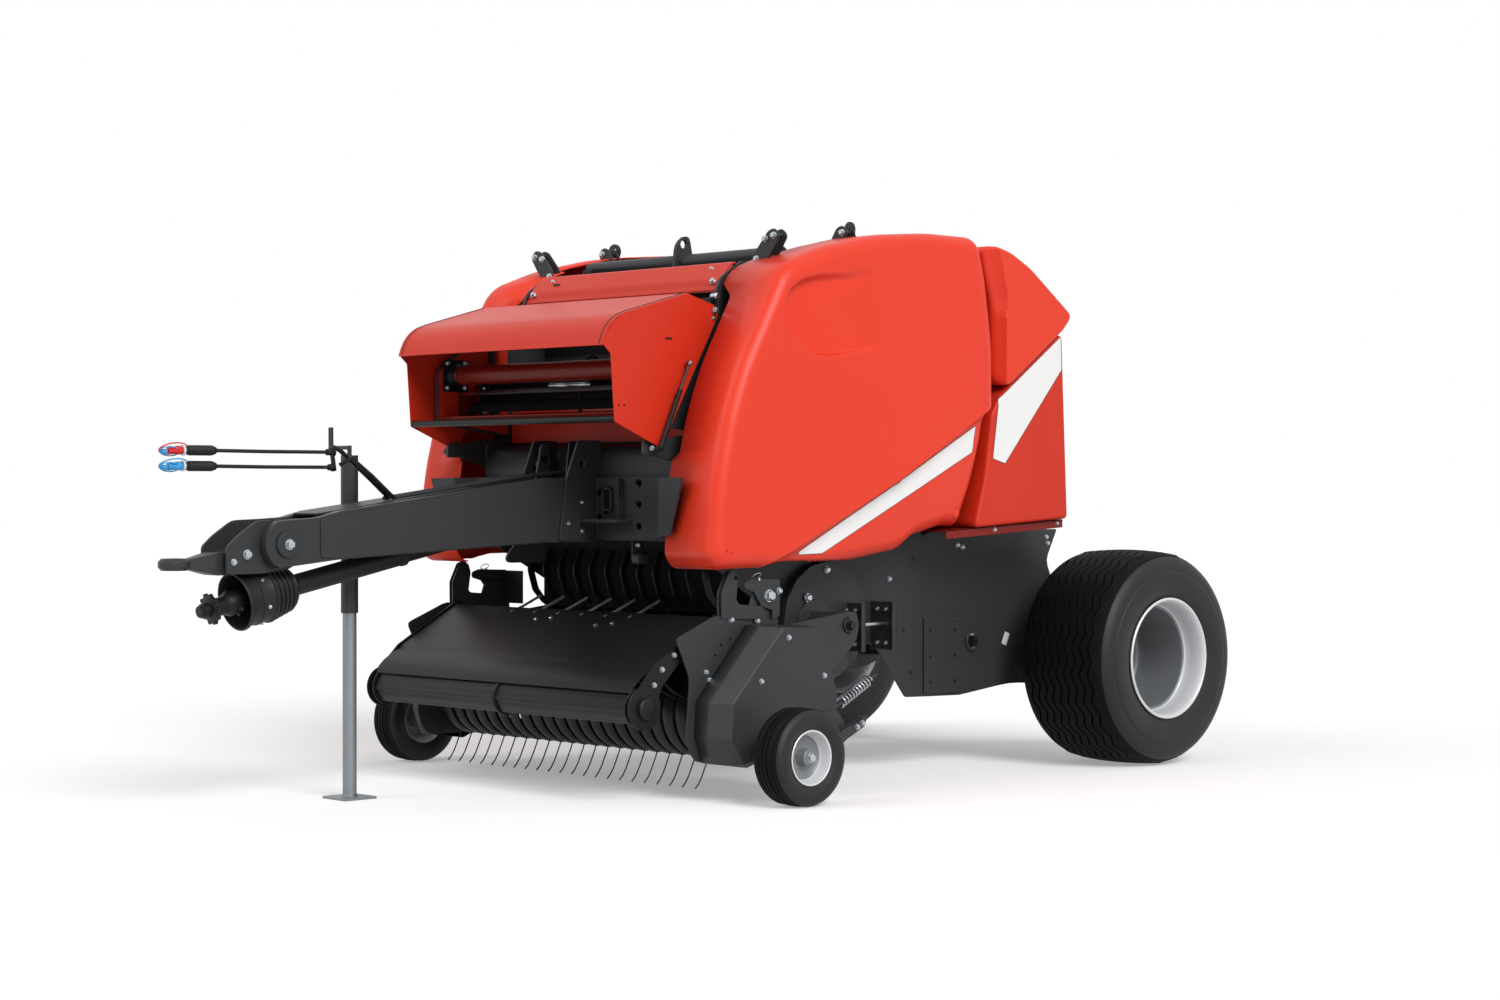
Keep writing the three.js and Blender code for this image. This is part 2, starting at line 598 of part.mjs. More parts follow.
const jackX = -(BEAM_INNER + BEAM_THICK + GAP);
const jackCentre = jackX - 14 - JACK_TUBE_RADIUS;
const jackPlate = block(jackX - 16, jackX, JACK_Y - 60, JACK_Y + 60, 980, 1090);
const jackTube = cut(
  join(
    bar([jackCentre, JACK_Y, 720], [jackCentre, JACK_Y, 1330], JACK_TUBE_RADIUS, 16),
    jackPlate,
  ),
  bar([jackCentre, JACK_Y, 700], [jackCentre, JACK_Y, 1310], JACK_LEG_RADIUS + RUNNING, 16),
);
const jackCrank = join(
  bar([jackCentre, JACK_Y, 1325], [jackCentre, JACK_Y, 1368], 9, 8),
  bar([jackCentre, JACK_Y, 1360], [jackCentre - 130, JACK_Y, 1360], 8, 8),
  bar([jackCentre - 124, JACK_Y, 1356], [jackCentre - 124, JACK_Y, 1440], 10, 8),
);
place('jack_tube', join(jackTube, jackCrank), darkPaint);
const jackLeg = join(
  bar([jackCentre, JACK_Y, 8], [jackCentre, JACK_Y, 1310 - JACK_TRAVEL], JACK_LEG_RADIUS, 16),
  block(jackCentre - 75, jackCentre + 75, JACK_Y - 75, JACK_Y + 75, 0, 10),
);
place('jack_leg', jackLeg, zinc);

// ---------------------------------------------------------------- hoses and their holder

const holderFoot = [0, -3250, 1104];
const holderPoints = [[0, -3250, 1169], [0, -3345, 1248], [0, -3440, 1318], [0, -3509, 1355]];
const holderRods = [holderPoints[0], holderPoints[3]];
const holder = join(
  bar(holderFoot, holderRods[0], 9, 10),
  bar(holderRods[0], holderRods[1], 9, 10),
  bar([0, -3509, 1358], [0, -3496, 1268], 9, 10),
  block(-headHalf, headHalf, -3272, -3228, 1098, 1110),
);
place('hose_holder', holder, darkPaint);

// Each line ends against the holder's upright rod.
function hydraulicLine(z, end) {
  const tip = [0, -4221, z];
  return join(
    bar(tip, [0, -4150, z], 13, 12),
    bar([0, -4152, z], [0, -4020, z], 19, 12),
    bar([0, -4022, z], [0, end, z - 2], 7, 10),
  );
}
place('hydraulic_line_upper', hydraulicLine(1341, -3516.7), blackPaint);
place('hydraulic_line_lower', hydraulicLine(1284, -3508.5), blackPaint);

// ---------------------------------------------------------------- top of the machine

const topTube = { y: -1722, z: 2152 };
const eyePlate = [[topTube.y - 60, 2120], [topTube.y - 46, 2225, 20], [topTube.y - 8, 2262, 24],
  [topTube.y + 30, 2262, 20], [topTube.y + 60, 2120]];
const liftEye = plateYZ(eyePlate, -8, 8, [[topTube.y - 4, 2228, 17]]);
const topGussets = [1, -1].map((side) => block(side * (across - 40), side * across, topTube.y - 50, topTube.y + 50, 2101, 2150));
const topFrame = join(
  bar([-across, topTube.y, topTube.z], [across, topTube.y, topTube.z], 33, 16),
  liftEye,
  ...topGussets,
);
place('top_tube', topFrame, darkPaint);

// ---------------------------------------------------------------- doors

const doorFront = [[-2420, 965, 80], [-2402, 1234, 120], [-2310, 1600, 160], [-2040, 2072, 70],
  [-1794, 2162, 100], [-1500, 2226, 120], [-1180, 2252, 120], [-885, 2250, 66], [-846, 2090, 70],
  [-806, 1780, 70]];
const doorOutline = [...doorFront, [-806, 1545], [-866, 1240], [-952, 1040], [-1042, 1046],
  [-1221, 1008, 70], [-1319, 948, 70], [-1700, 897, 80], [-2360, 892, 80]];
const doorUpper = [...doorFront, [-806, 1552], [-1390, 1235, 80], [-2080, 906], [-2360, 892, 80]];

// Points moved inwards by the thickness of a moulded skin.
function inset(points, distance) {
  const count = points.length;
  return points.map(([a, b, radius = 0], i) => {
    const before = points[(i + count - 1) % count];
    const after = points[(i + 1) % count];
    const first = new THREE.Vector2(a - before[0], b - before[1]).normalize();
    const second = new THREE.Vector2(after[0] - a, after[1] - b).normalize();
    const normal = new THREE.Vector2(first.y + second.y, -(first.x + second.x)).normalize();
    const reach = distance / Math.max(0.4, normal.dot(new THREE.Vector2(first.y, -first.x)));
    return [a + normal.x * reach, b + normal.y * reach, radius];
  });
}

function door(side) {
  const round = 46;
  const shell = join(
    tub(doorOutline, DOOR_INNER_X, DOOR_BAND_X, round, 1),
    tub(doorUpper, DOOR_INNER_X, DOOR_X, round + 8, 1),
  );
  // The hollow is open towards the chamber and, behind the front wall, downwards too.
  const hollowOutline = inset(doorOutline, DOOR_SKIN);
  const hollow = tub(hollowOutline, DOOR_INNER_X - 50, DOOR_BAND_X - DOOR_SKIN, round, 1);
  const mouth = block(DOOR_INNER_X - 50, DOOR_BAND_X - DOOR_SKIN - 6, -2350, -1330, 700, 1010);
  // Above, the skin turns inwards only as far as the hinge ears.
  const top = block(DOOR_INNER_X - 102, DOOR_HINGE_X + 50, -1940, 0, 2000, 2400);
  const body = cut(shell, hollow, mouth, top);
  const arms = [DOOR_HINGE_FRONT, DOOR_HINGE_REAR].map((hinge) => {
    const half = DOOR_SLEEVE_LENGTH / 2;
    const roofZ = hinge === DOOR_HINGE_FRONT ? 2120 : 2208;
    const arm = [[DOOR_HINGE_X - 6, hinge.z + 14, 8], [DOOR_HINGE_X - 6, hinge.z - 14, 8],
      [DOOR_HINGE_X + 76, roofZ - 30], [DOOR_X - 60, roofZ - 30], [DOOR_X - 60, roofZ - 4],
      [DOOR_HINGE_X + 76, roofZ + 4]];
    const sleeve = bar(onHinge(hinge, 1, -half), onHinge(hinge, 1, half), DOOR_SLEEVE_RADIUS, 12);
    const bore = bar(onHinge(hinge, 1, -half - 5), onHinge(hinge, 1, half + 5),
      DOOR_PIN_RADIUS + RUNNING, 8);
    return cut(join(sleeve, plateXZ(arm, hinge.y - 8, hinge.y + 8)), bore);
  });
  const whole = join(body, ...arms);
  return side > 0 ? whole : mirrored(whole);
}
placePair('side_panel', door, redPaint);

// ---------------------------------------------------------------- tailgate

// Shell of the rear half of the chamber: two side walls and a round back wall, open to the front.
function gateShell() {
  const centre = { y: CHAMBER_Y, z: CHAMBER_Z };
  const outer = CHAMBER_RADIUS + 24;
  const rim = [[-938, 2040], ...arc(centre, outer, 62, -56, 16), [-880, 905], [-938, 905]];
  const shell = plateYZ(rim, -GATE_HALF, GATE_HALF);
  const inner = GATE_HALF - GATE_WALL;
  const hollow = plateYZ([[-990, 2150], ...arc(centre, CHAMBER_RADIUS + 12, 64, -64, 16), [-990, 800]],
    -inner, inner);
  const lugs = [1, -1].map((side) => {
    const lug = [...arc(GATE_PIVOT, 28, 190, -10, 12), [-830, 2030], [-860, 1900], [-930, 1900],
      [-925, 2060, 20]];
    const pin = bar([side * (GATE_HALF - 20), GATE_PIVOT.y, GATE_PIVOT.z],
      [side * (SIDE_OUTER + 14), GATE_PIVOT.y, GATE_PIVOT.z], GATE_PIN_RADIUS, 16);
    return join(plateYZ(lug, side * inner, side * GATE_HALF), pin);
  });
  // Webs behind the round wall carry the cover.
  const webs = [-400, 0, 400].map((x) => {
    const web = [[-520, 1440], [-324, 1440], [-324, 1520], [-540, 1520]];
    return plateYZ(web, x - 6, x + 6);
  });
  return join(cut(shell, hollow), ...lugs, ...webs);
}
place('tailgate_shell', gateShell(), darkPaint);

const coverHalf = GATE_HALF;
const coverPath = [[-855, 2214], [-560, 2128], [-330, 1938], [-312, 1500], [-300, 1080], [-330, 1062]];
const coverSheet = bentSheet([...coverPath].reverse(), 10, -coverHalf, coverHalf);
place('tailgate_cover', coverSheet, redPaint);
const panelOutline = [[-738, 1592], [-334, 1876], [-296, 1070], [-896, 1036], [-828, 1262],
  [-790, 1516]];
const spoilerOutline = [[-828, 2230], [-690, 2200, 60], [-560, 2138, 80], [-286, 1946],
  [-346, 1882], [-752, 1598], [-754, 1960, 60], [-800, 2110, 60]];

function gateMoulding(points, outerX, round) {
  return (side) => {
    const whole = tub(points, coverHalf + GAP, outerX, round, 1);
    const hollow = tub(inset(points, 12), coverHalf - 50, outerX - 12, round, 1);
    const body = cut(whole, hollow);
    return side > 0 ? body : mirrored(body);
  };
}
placePair('tailgate_panel', gateMoulding(panelOutline, GATE_PANEL_X, 16), redPaint);
placePair('tailgate_spoiler', gateMoulding(spoilerOutline, SPOILER_X, 14), redPaint);

function rearLamp(side) {
  // Its front face follows the panel's rear edge.
  const panelRear = (z) => -296 - (38 * (z - 1070)) / 806 + GAP;
  const housing = [[panelRear(1110), 1110], [panelRear(1200), 1200], [-258, 1200], [-258, 1110]];
  return plateYZ(housing, side * (GATE_PANEL_X - 218), side * (GATE_PANEL_X - 58));
}
placePair('rear_lamp', rearLamp, finish(AMBER, 0.25, 0));

// ---------------------------------------------------------------- net box

const tray = bentSheet([[-2540, 1500], [-2500, 1478], [-2200, 1478], [-2160, 1500]], 6, -across, across);
const flatBar = block(-across, across, -2440, -2380, 1590, 1602);
const trayLink = [1, -1].map((side) => block(side * 590, side * across, -2460, -2360, 1476, 1602));
place('net_box', join(tray, flatBar, ...trayLink), darkPaint);

const rollerEnd = across - 18;
place('net_roller', join(
  bar([-rollerEnd, NET_ROLLER.y, NET_ROLLER.z], [rollerEnd, NET_ROLLER.y, NET_ROLLER.z], NET_ROLLER_RADIUS, 16),
  bar([-across, NET_ROLLER.y, NET_ROLLER.z], [across, NET_ROLLER.y, NET_ROLLER.z], 12, 10),
), finish(DEEP_RED, 0.4, 0.3));

function hoodBody() {
  const skinPath = [[-2285, 1964], [-2560, 1880], [-2717, 1752], [-2684, 1716]];
  const skin = bentSheet(skinPath, -HOOD_SHEET, -HOOD_HALF, HOOD_HALF);
  const cheekOutline = [[-2285, 1962], [-2560, 1878, 60], [-2714, 1752], [-2681, 1716],
    [-2662, 1457, 10], [-2424, 1357, 10], [-2120, 1890, 20], [-2146, 1925, 20]];
  const cheeks = [1, -1].map((side) => {
    const outer = side * HOOD_HALF;
    const inner = side * (HOOD_HALF - HOOD_SHEET);
    const stud = bar([side * (SIDE_OUTER + GAP), HOOD_HINGE.y, HOOD_HINGE.z],
      [side * (HOOD_HALF + 6), HOOD_HINGE.y, HOOD_HINGE.z], 9, 10);
    const strutStud = bar([side * (HOOD_HALF - 2), STRUT_EYE.y, STRUT_EYE.z],
      [side * (STRUT_X - 6 - GAP), STRUT_EYE.y, STRUT_EYE.z], 6, 8);
    return join(plateYZ(cheekOutline, inner, outer), stud, strutStud);
  });
  const lowerBar = bar([-HOOD_HALF + 2, -2645, 1470], [HOOD_HALF - 2, -2645, 1470], 11, 10);
  return join(skin, ...cheeks, lowerBar);
}
place('hood', hoodBody(), redPaint);

// Gas struts of the hood: a tube on a bracket of the chamber side, and a rod to the hood.
const strutSpan = new THREE.Vector2(STRUT_EYE.y - STRUT_FOOT.y, STRUT_EYE.z - STRUT_FOOT.z);
const strutAlong = strutSpan.clone().normalize();
function onStrut(distance, x) {
  return [x, STRUT_FOOT.y + strutAlong.x * distance, STRUT_FOOT.z + strutAlong.y * distance];
}
const strutTubeLength = 250;

function strutTube(side) {
  const x = side * STRUT_X;
  const tube = bar(onStrut(0, x), onStrut(strutTubeLength, x), 10, 12);
  const bore = bar(onStrut(20, x), onStrut(strutTubeLength + 5, x), 5 + RUNNING, 12);
  const eye = bar([side * (STRUT_X - 6), STRUT_FOOT.y, STRUT_FOOT.z],
    [side * (STRUT_X + 6), STRUT_FOOT.y, STRUT_FOOT.z], 13, 12);
  return cut(join(tube, eye), bore);
}

function strutRod(side) {
  const x = side * STRUT_X;
  return join(
    bar(onStrut(30, x), onStrut(strutSpan.length(), x), 5, 10),
    bar([side * (STRUT_X - 6), STRUT_EYE.y, STRUT_EYE.z], [side * (STRUT_X + 6), STRUT_EYE.y, STRUT_EYE.z], 11, 12),
  );
}

placePair('strut_tube', strutTube, blackPaint);
placePair('strut_rod', strutRod, zinc);

// ---------------------------------------------------------------- feed rotor

function feedRotor() {
  const pieces = [bar([-across, ROTOR.y, ROTOR.z], [across, ROTOR.y, ROTOR.z], ROTOR_SHAFT_RADIUS + 10, 16)];
  for (const side of [1, -1]) {
    pieces.push(bar([side * (across - 2), ROTOR.y, ROTOR.z], [side * (SIDE_OUTER + 40), ROTOR.y, ROTOR.z],
      ROTOR_SHAFT_RADIUS - 20, 14));
  }
  const stars = 6;
  for (let i = 0; i < stars; i += 1) {
    const x = -520 + (1040 * i) / (stars - 1);
    const star = [];
    for (let tooth = 0; tooth < 4; tooth += 1) {
      const turn = tooth * 90 + i * 20;
      star.push(...arc(ROTOR, 95, turn, turn + 30, 1));
      star.push(...arc(ROTOR, ROTOR_RADIUS, turn + 50, turn + 62, 1));
    }
    pieces.push(plateYZ(star, x - 8, x + 8));
  }
  return join(...pieces);
}
place('feed_rotor', feedRotor(), darkPaint);

// ---------------------------------------------------------------- pickup

const plateOuter = PICKUP_PLATE_X + PICKUP_PLATE;

// A hook plate inside each side plate, for the transport lock.
function liftHook(side) {
  const hook = [[-2080, 620, 10], [-2200, 640, 20], [-2250, 720, 20], [-2255, 850, 20],
    [-2215, 880, 20], [-2200, 840, 10], [-2215, 740, 20], [-2160, 690, 20], [-2120, 800, 10],
    [-1990, 800, 10], [-1985, 620, 10]];
  return plateYZ(hook, side * (PICKUP_PLATE_X - 8), side * (PICKUP_PLATE_X + 1));
}

function pickupFrame() {
  const sideOutline = [[-2532, 631, 20], [-2320, 716, 30], [-2021, 655, 20], [-1540, 712, 50],
    [-1540, 590, 50], [-1783, 404, 20], [-1840, 300, 40], [-2200, 150, 60], [-2440, 150, 50],
    [-2480, 250, 30], [-2460, 480, 30]];
  const plates = [1, -1].map((side) => {
    const bores = [[REEL.y, REEL.z, 26 + RUNNING], [ROTOR.y, ROTOR.z, PICKUP_PIN_RADIUS + RUNNING]];
    return plateYZ(sideOutline, side * PICKUP_PLATE_X, side * plateOuter, bores);
  });
  const reach = PICKUP_PLATE_X + 2;
  const rearTube = bar([-reach, -1980, 568], [reach, -1980, 568], 36, 14);
  const lowTube = bar([-reach, -1905, 300], [reach, -1905, 300], 24, 10);
  return join(...plates, rearTube, lowTube, liftHook(1), liftHook(-1));
}
place('pickup_frame', pickupFrame(), darkPaint);

// Stripper bands: narrow curved guards between the tines, carried by a sheet behind the tines.
function stripperBands() {
  const sheetY = REEL.y + TINE_TIP_RADIUS + 12;
  const reach = PICKUP_PLATE_X - GAP;
  const pieces = [block(-reach, reach, sheetY, sheetY + 8, 195, 526)];
  const thickness = 6;
  const outer = [[sheetY + 4, 522], ...arc(REEL, BAND_RADIUS, 80, 262, 6), [sheetY + 4, 200]];
  const inner = [[sheetY + 4, 200 + thickness], ...arc(REEL, BAND_RADIUS - thickness, 262, 80, 6),
    [sheetY + 4, 522 - thickness]];
  for (let i = 0; i < TINE_COLUMNS - 1; i += 1) {
    const x = (i - (TINE_COLUMNS - 2) / 2) * TINE_SPACING;
    pieces.push(plateYZ([...outer, ...inner], x - BAND_WIDTH / 2, x + BAND_WIDTH / 2));
  }
  return join(...pieces);
}
place('stripper_bands', stripperBands(), blackPaint);

function tineReel() {
  const half = PICKUP_PLATE_X - 6;
  const pieces = [
    bar([-half - 5.5, REEL.y, REEL.z], [half + 5.5, REEL.y, REEL.z], 32, 12),
    bar([-plateOuter - 10, REEL.y, REEL.z], [plateOuter + 10, REEL.y, REEL.z], 26, 12),
  ];
  for (const x of [-half + 8, half - 8]) {
    pieces.push(bar([x - 5, REEL.y, REEL.z], [x + 5, REEL.y, REEL.z], REEL_BAR_RADIUS + 24, 20));
  }
  for (let barIndex = 0; barIndex < TINE_BARS; barIndex += 1) {
    const turn = THREE.MathUtils.degToRad(-110 + (360 * barIndex) / TINE_BARS);
    const at = [REEL.y + REEL_BAR_RADIUS * Math.cos(turn), REEL.z + REEL_BAR_RADIUS * Math.sin(turn)];
    pieces.push(bar([-half + 4, ...at], [half - 4, ...at], 15, 8));
    for (let column = 0; column < TINE_COLUMNS; column += 1) {
      const x = (column - (TINE_COLUMNS - 1) / 2) * TINE_SPACING;
      const tip = [REEL.y + TINE_TIP_RADIUS * Math.cos(turn - 0.12), REEL.z + TINE_TIP_RADIUS * Math.sin(turn - 0.12)];
      pieces.push(bar([x, ...at], [x, ...tip], 4, 3));
    }
  }
  return join(...pieces);
}
place('tine_reel', tineReel(), darkPaint);

// Drive cover at each end of the pickup: a faceted box that narrows outwards.
function driveCover(side) {
  const inner = plateOuter + GAP;
  const base = [[-2440, 500, 10], [-2320, 690, 10], [-2010, 645, 10], [-1830, 560, 10], [-1790, 400, 10],
    [-1850, 250, 10], [-2180, 120, 10], [-2400, 130, 10], [-2455, 240, 10]];
  const body = plateYZ(base, side * inner, side * COVER_X);
  // A sloping cut takes the front and lower edges back towards the plate.
  const hollow = plateYZ(inset(base, 6), side * (inner - 5), side * (COVER_X - 6));
  return cut(body, hollow);
}
placePair('drive_cover', driveCover, darkPaint);

// Gauge wheel arms: a flat bar behind the wheel, bolted to the drive cover, with the wheel's axle.
function gaugeArm(side) {
  const inner = COVER_X + GAP;
  const arm = [[GAUGE_Y - 30, GAUGE_RADIUS - 30, 20], [GAUGE_Y - 30, GAUGE_RADIUS + 30, 20],
    [-1900, 330, 20], [-1820, 330, 20], [-1740, 230, 20], [-1800, 190, 20]];
  const axle = bar([side * inner, GAUGE_Y, GAUGE_RADIUS], [side * (GAUGE_OUTER_X - 40), GAUGE_Y, GAUGE_RADIUS],
    GAUGE_AXLE_RADIUS, 14);
  return join(plateYZ(arm, side * inner, side * (inner + 12)), axle);
}
placePair('gauge_arm', gaugeArm, darkPaint);

function gaugeTyre(side) {
  const half = GAUGE_WIDTH / 2;
  const bead = GAUGE_RIM_RADIUS + GAP;
  const outer = [[bead, -half + 14], [bead + 26, -half], [GAUGE_RADIUS - 30, -half],
    [GAUGE_RADIUS - 6, -half + 14], [GAUGE_RADIUS, -half + 34]];
  const other = outer.map(([radius, along]) => [radius, -along]).reverse();
  const profile = [...outer, ...other, outer[0]];
  const centre = GAUGE_OUTER_X - half;
  return turned(profile, [side * centre, GAUGE_Y, GAUGE_RADIUS], [side, 0, 0], GAUGE_SIDES);
}

function gaugeRim(side) {
  const half = GAUGE_WIDTH / 2;
  const flange = GAUGE_RIM_RADIUS;
  const well = flange - 16;
  const hole = GAUGE_AXLE_RADIUS + RUNNING;
  const profile = [[flange, half - 8], [flange, half - 22], [well, half - 34], [well, -half + 34],
    [flange, -half + 22], [flange - 6, -half + 8], [well - 6, -6], [38, -12], [38, -half + 12],
    [hole, -half + 12], [hole, half - 34], [36, half - 34], [38, 0], [well - 6, 6],
    [flange - 6, half - 8]];
  profile.push(profile[0]);
  const centre = GAUGE_OUTER_X - half;
  return turned(profile, [side * centre, GAUGE_Y, GAUGE_RADIUS], [side, 0, 0], GAUGE_SIDES);
}
placePair('gauge_tyre', gaugeTyre, rubber);
placePair('gauge_rim', gaugeRim, silverPaint);

// Wind guard: a sloping plate hinged behind, side arms, and rods that reach over the intake.
function windGuard() {
  const plate = bentSheet([[-2290, 694], [-2620, 506], [-2690, 470]], 5, -GUARD_HALF + 12, GUARD_HALF - 12);
  const arms = [1, -1].map((side) => {
    const arm = [[GUARD_PIVOT.y + 24, GUARD_PIVOT.z + 10, 14], [GUARD_PIVOT.y, GUARD_PIVOT.z - 26, 10],
      [-2600, 460, 20], [-2640, 372, 20], [-2671, 340, 20], [-2706, 372, 20], [-2690, 480, 20],
      [-2640, 520, 20]];
    return plateYZ(arm, side * (GUARD_HALF - 13), side * (GUARD_HALF - 3),
      [[GUARD_ROLLER.y, GUARD_ROLLER.z, 14 + RUNNING]]);
  });
  const pivots = [1, -1].map((side) => bar([side * (GUARD_HALF - 8), GUARD_PIVOT.y, GUARD_PIVOT.z],
    [side * (PICKUP_PLATE_X - GAP), GUARD_PIVOT.y, GUARD_PIVOT.z], 9, 10));
  const rods = [-320, -160, 0, 160, 320].map((x) => bar([x, -2330, 672], [x, -2160, 730], 6, 8));
  return join(plate, ...arms, ...pivots, ...rods);
}
place('wind_guard', windGuard(), darkPaint);

const rollerHalf = GUARD_HALF - 20;
place('guard_roller', join(
  bar([-rollerHalf, GUARD_ROLLER.y, GUARD_ROLLER.z], [rollerHalf, GUARD_ROLLER.y, GUARD_ROLLER.z], GUARD_ROLLER_RADIUS, 20),
  bar([-GUARD_HALF, GUARD_ROLLER.y, GUARD_ROLLER.z], [GUARD_HALF, GUARD_ROLLER.y, GUARD_ROLLER.z], 14, 12),
), blackPaint);

// ---------------------------------------------------------------- origin

// The origin lies on the ground, half way between the towing eye's tip and the rear tyres' back.
baler.position.y = -(EYE_TIP_Y + TYRE_RADIUS) / 2;

export default baler;
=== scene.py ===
# %% [markdown]
# # Round baler
# A trailed machine that rolls hay into bales. The steel frame comes from the CAD model; this lesson
# dresses it: moulded doors, tyres, bolts, paint. Lengths are metres, the machine points along -Y,
# and a place is given from the rear axle's line, the way the CAD drawing gives it.

# %% Load the frame
import json
from math import atan2, cos, pi, radians, sin, sqrt, tan

import bmesh
import bpy
from mathutils import Matrix, Vector


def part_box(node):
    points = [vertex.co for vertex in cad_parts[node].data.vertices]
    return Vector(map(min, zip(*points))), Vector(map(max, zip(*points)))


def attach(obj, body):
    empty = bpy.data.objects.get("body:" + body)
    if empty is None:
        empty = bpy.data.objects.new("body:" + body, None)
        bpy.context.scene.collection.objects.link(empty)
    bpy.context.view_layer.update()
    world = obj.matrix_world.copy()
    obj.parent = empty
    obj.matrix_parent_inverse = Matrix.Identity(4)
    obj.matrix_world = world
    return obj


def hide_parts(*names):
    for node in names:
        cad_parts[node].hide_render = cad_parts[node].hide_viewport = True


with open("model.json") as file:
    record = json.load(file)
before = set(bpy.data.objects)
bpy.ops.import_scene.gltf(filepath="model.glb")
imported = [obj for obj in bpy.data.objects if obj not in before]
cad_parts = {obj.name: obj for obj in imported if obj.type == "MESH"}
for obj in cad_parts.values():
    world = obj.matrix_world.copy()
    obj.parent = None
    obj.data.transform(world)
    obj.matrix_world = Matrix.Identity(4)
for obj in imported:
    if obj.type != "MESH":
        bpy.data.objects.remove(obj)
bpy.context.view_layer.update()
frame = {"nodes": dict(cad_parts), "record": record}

low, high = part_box("axle_beam")
AXLE_Y = (low.y + high.y) / 2
SIDES = ((1, "left"), (-1, "right"))
BODY_OF = {node: body for body, nodes in frame["record"]["behaviour"]["bodies"].items() for node in nodes}
print("rear axle at y", round(AXLE_Y, 3), "nodes", len(frame["nodes"]))

# %% [markdown]
# The camera comes first. It stands low, ahead of the machine on its left, with a fairly long lens.

# %% Camera
lens = bpy.data.cameras.new("camera")
lens.lens = 66.77
lens.sensor_width = 36
camera = bpy.data.objects.new("camera", lens)
camera.location = (8.7036, -7.6963, 1.2173)
camera.rotation_euler = (pi / 2 - 0.0056, 0, 0.8118)
bpy.context.scene.collection.objects.link(camera)
bpy.context.scene.camera = camera
bpy.context.scene.view_settings.view_transform = "Standard"
print("camera", tuple(round(v, 2) for v in camera.location))

# %% [markdown]
# Two helpers for finishes. Colours are picked as sRGB hex values, but nodes work in linear light,
# so one function converts them. The other adds a node and fills or links its inputs.

# %% Colour and node helpers
def linear(code):
    """An sRGB hex colour as linear RGBA."""
    shares = [int(code[i:i + 2], 16) / 255 for i in (1, 3, 5)]
    return (*[s / 12.92 if s <= 0.04045 else ((s + 0.055) / 1.055) ** 2.4 for s in shares], 1)


def node(tree, kind, inputs=None, **settings):
    """Adds a node with its settings, and its inputs as values or links."""
    made = tree.nodes.new(kind)
    for key, value in settings.items():
        setattr(made, key, value)
    for key, value in (inputs or {}).items():
        if isinstance(value, bpy.types.NodeSocket):
            tree.links.new(value, made.inputs[key])
        else:
            made.inputs[key].default_value = value
    return made


def new_material(name):
    """An empty material: its tree and its Object coordinates."""
    made = bpy.data.materials.new(name)
    made.use_nodes = True
    made.node_tree.nodes.clear()
    where = node(made.node_tree, "ShaderNodeTexCoord").outputs["Object"]
    return made, made.node_tree, where


print("red", [round(v, 3) for v in linear("#E0452E")[:3]])

# %% [markdown]
# Painted and moulded surfaces share a build: a base colour that drifts a little over the panel, a
# faint waviness (orange peel on paint, grain on plastic) in the normal, and roughness that varies.
# The drift is large and weak; the peel is real at 1 to 2 mm but drawn at 6 to 12 mm so it shows.

# %% Coated surfaces
def coated(name, colour, darker, rough, peel, grain, coat=0.0, dust=0.0, metal=0.0, spec=0.5):
    """A coated surface: colour drift, peel of that size in metres, and dust settling low down."""
    made, tree, where = new_material(name)
    drift = node(tree, "ShaderNodeTexNoise", {"Vector": where, "Scale": 1.7, "Detail": 3.0})
    # A Mix node's colour sockets share their names with its number sockets, so they go by number.
    tint = node(tree, "ShaderNodeMix", {"Factor": drift.outputs["Fac"]}, data_type="RGBA")
    tint.inputs[6].default_value = linear(colour)
    tint.inputs[7].default_value = linear(darker)
    base = tint.outputs[2]
    speck = node(tree, "ShaderNodeTexNoise", {"Vector": where, "Scale": 1 / peel, "Detail": 2.0})
    if dust:
        height = node(tree, "ShaderNodeSeparateXYZ", {"Vector": where}).outputs["Z"]
        patchy = node(tree, "ShaderNodeTexNoise", {"Vector": where, "Scale": 9.0,
                                                   "Detail": 6.0}).outputs["Fac"]
        lowness = node(tree, "ShaderNodeMapRange", {"Value": height, "From Min": 0.75, "From Max": 0.0,
                                                    "To Min": 0.0, "To Max": dust})
        amount = node(tree, "ShaderNodeMath", {0: lowness.outputs[0], 1: patchy}, operation="MULTIPLY")
        dusty = node(tree, "ShaderNodeMix", {"Factor": amount.outputs[0]}, data_type="RGBA")
        tree.links.new(base, dusty.inputs[6])
        dusty.inputs[7].default_value = linear("#8A8378")
        base = dusty.outputs[2]
    roughness = node(tree, "ShaderNodeMapRange", {"Value": drift.outputs["Fac"], "To Min": rough - 0.05,
                                                  "To Max": rough + 0.05})
    bump = node(tree, "ShaderNodeBump", {"Height": speck.outputs["Fac"], "Strength": grain,
                                         "Distance": 0.001})
    shader = node(tree, "ShaderNodeBsdfPrincipled", {
        "Base Color": base, "Roughness": roughness.outputs[0], "Normal": bump.outputs["Normal"],
        "Metallic": metal, "Coat Weight": coat, "Coat Roughness": 0.25, "Specular IOR Level": spec})
    node(tree, "ShaderNodeOutputMaterial", {"Surface": shader.outputs[0]})
    return made


# Thermoformed, through-coloured plastic with a satin gloss: the doors and tailgate panels.
red_moulding = coated("thermoformed red ABS", "#E33A20", "#DC341B", 0.45, 0.010, 0.10, coat=0.05, spec=0.35)
# Powder coat on sheet steel: the hood, crossbar and front wall.
red_paint = coated("red powder coat on steel", "#CC3018", "#C42C16", 0.42, 0.008, 0.16, coat=0.02, spec=0.3)
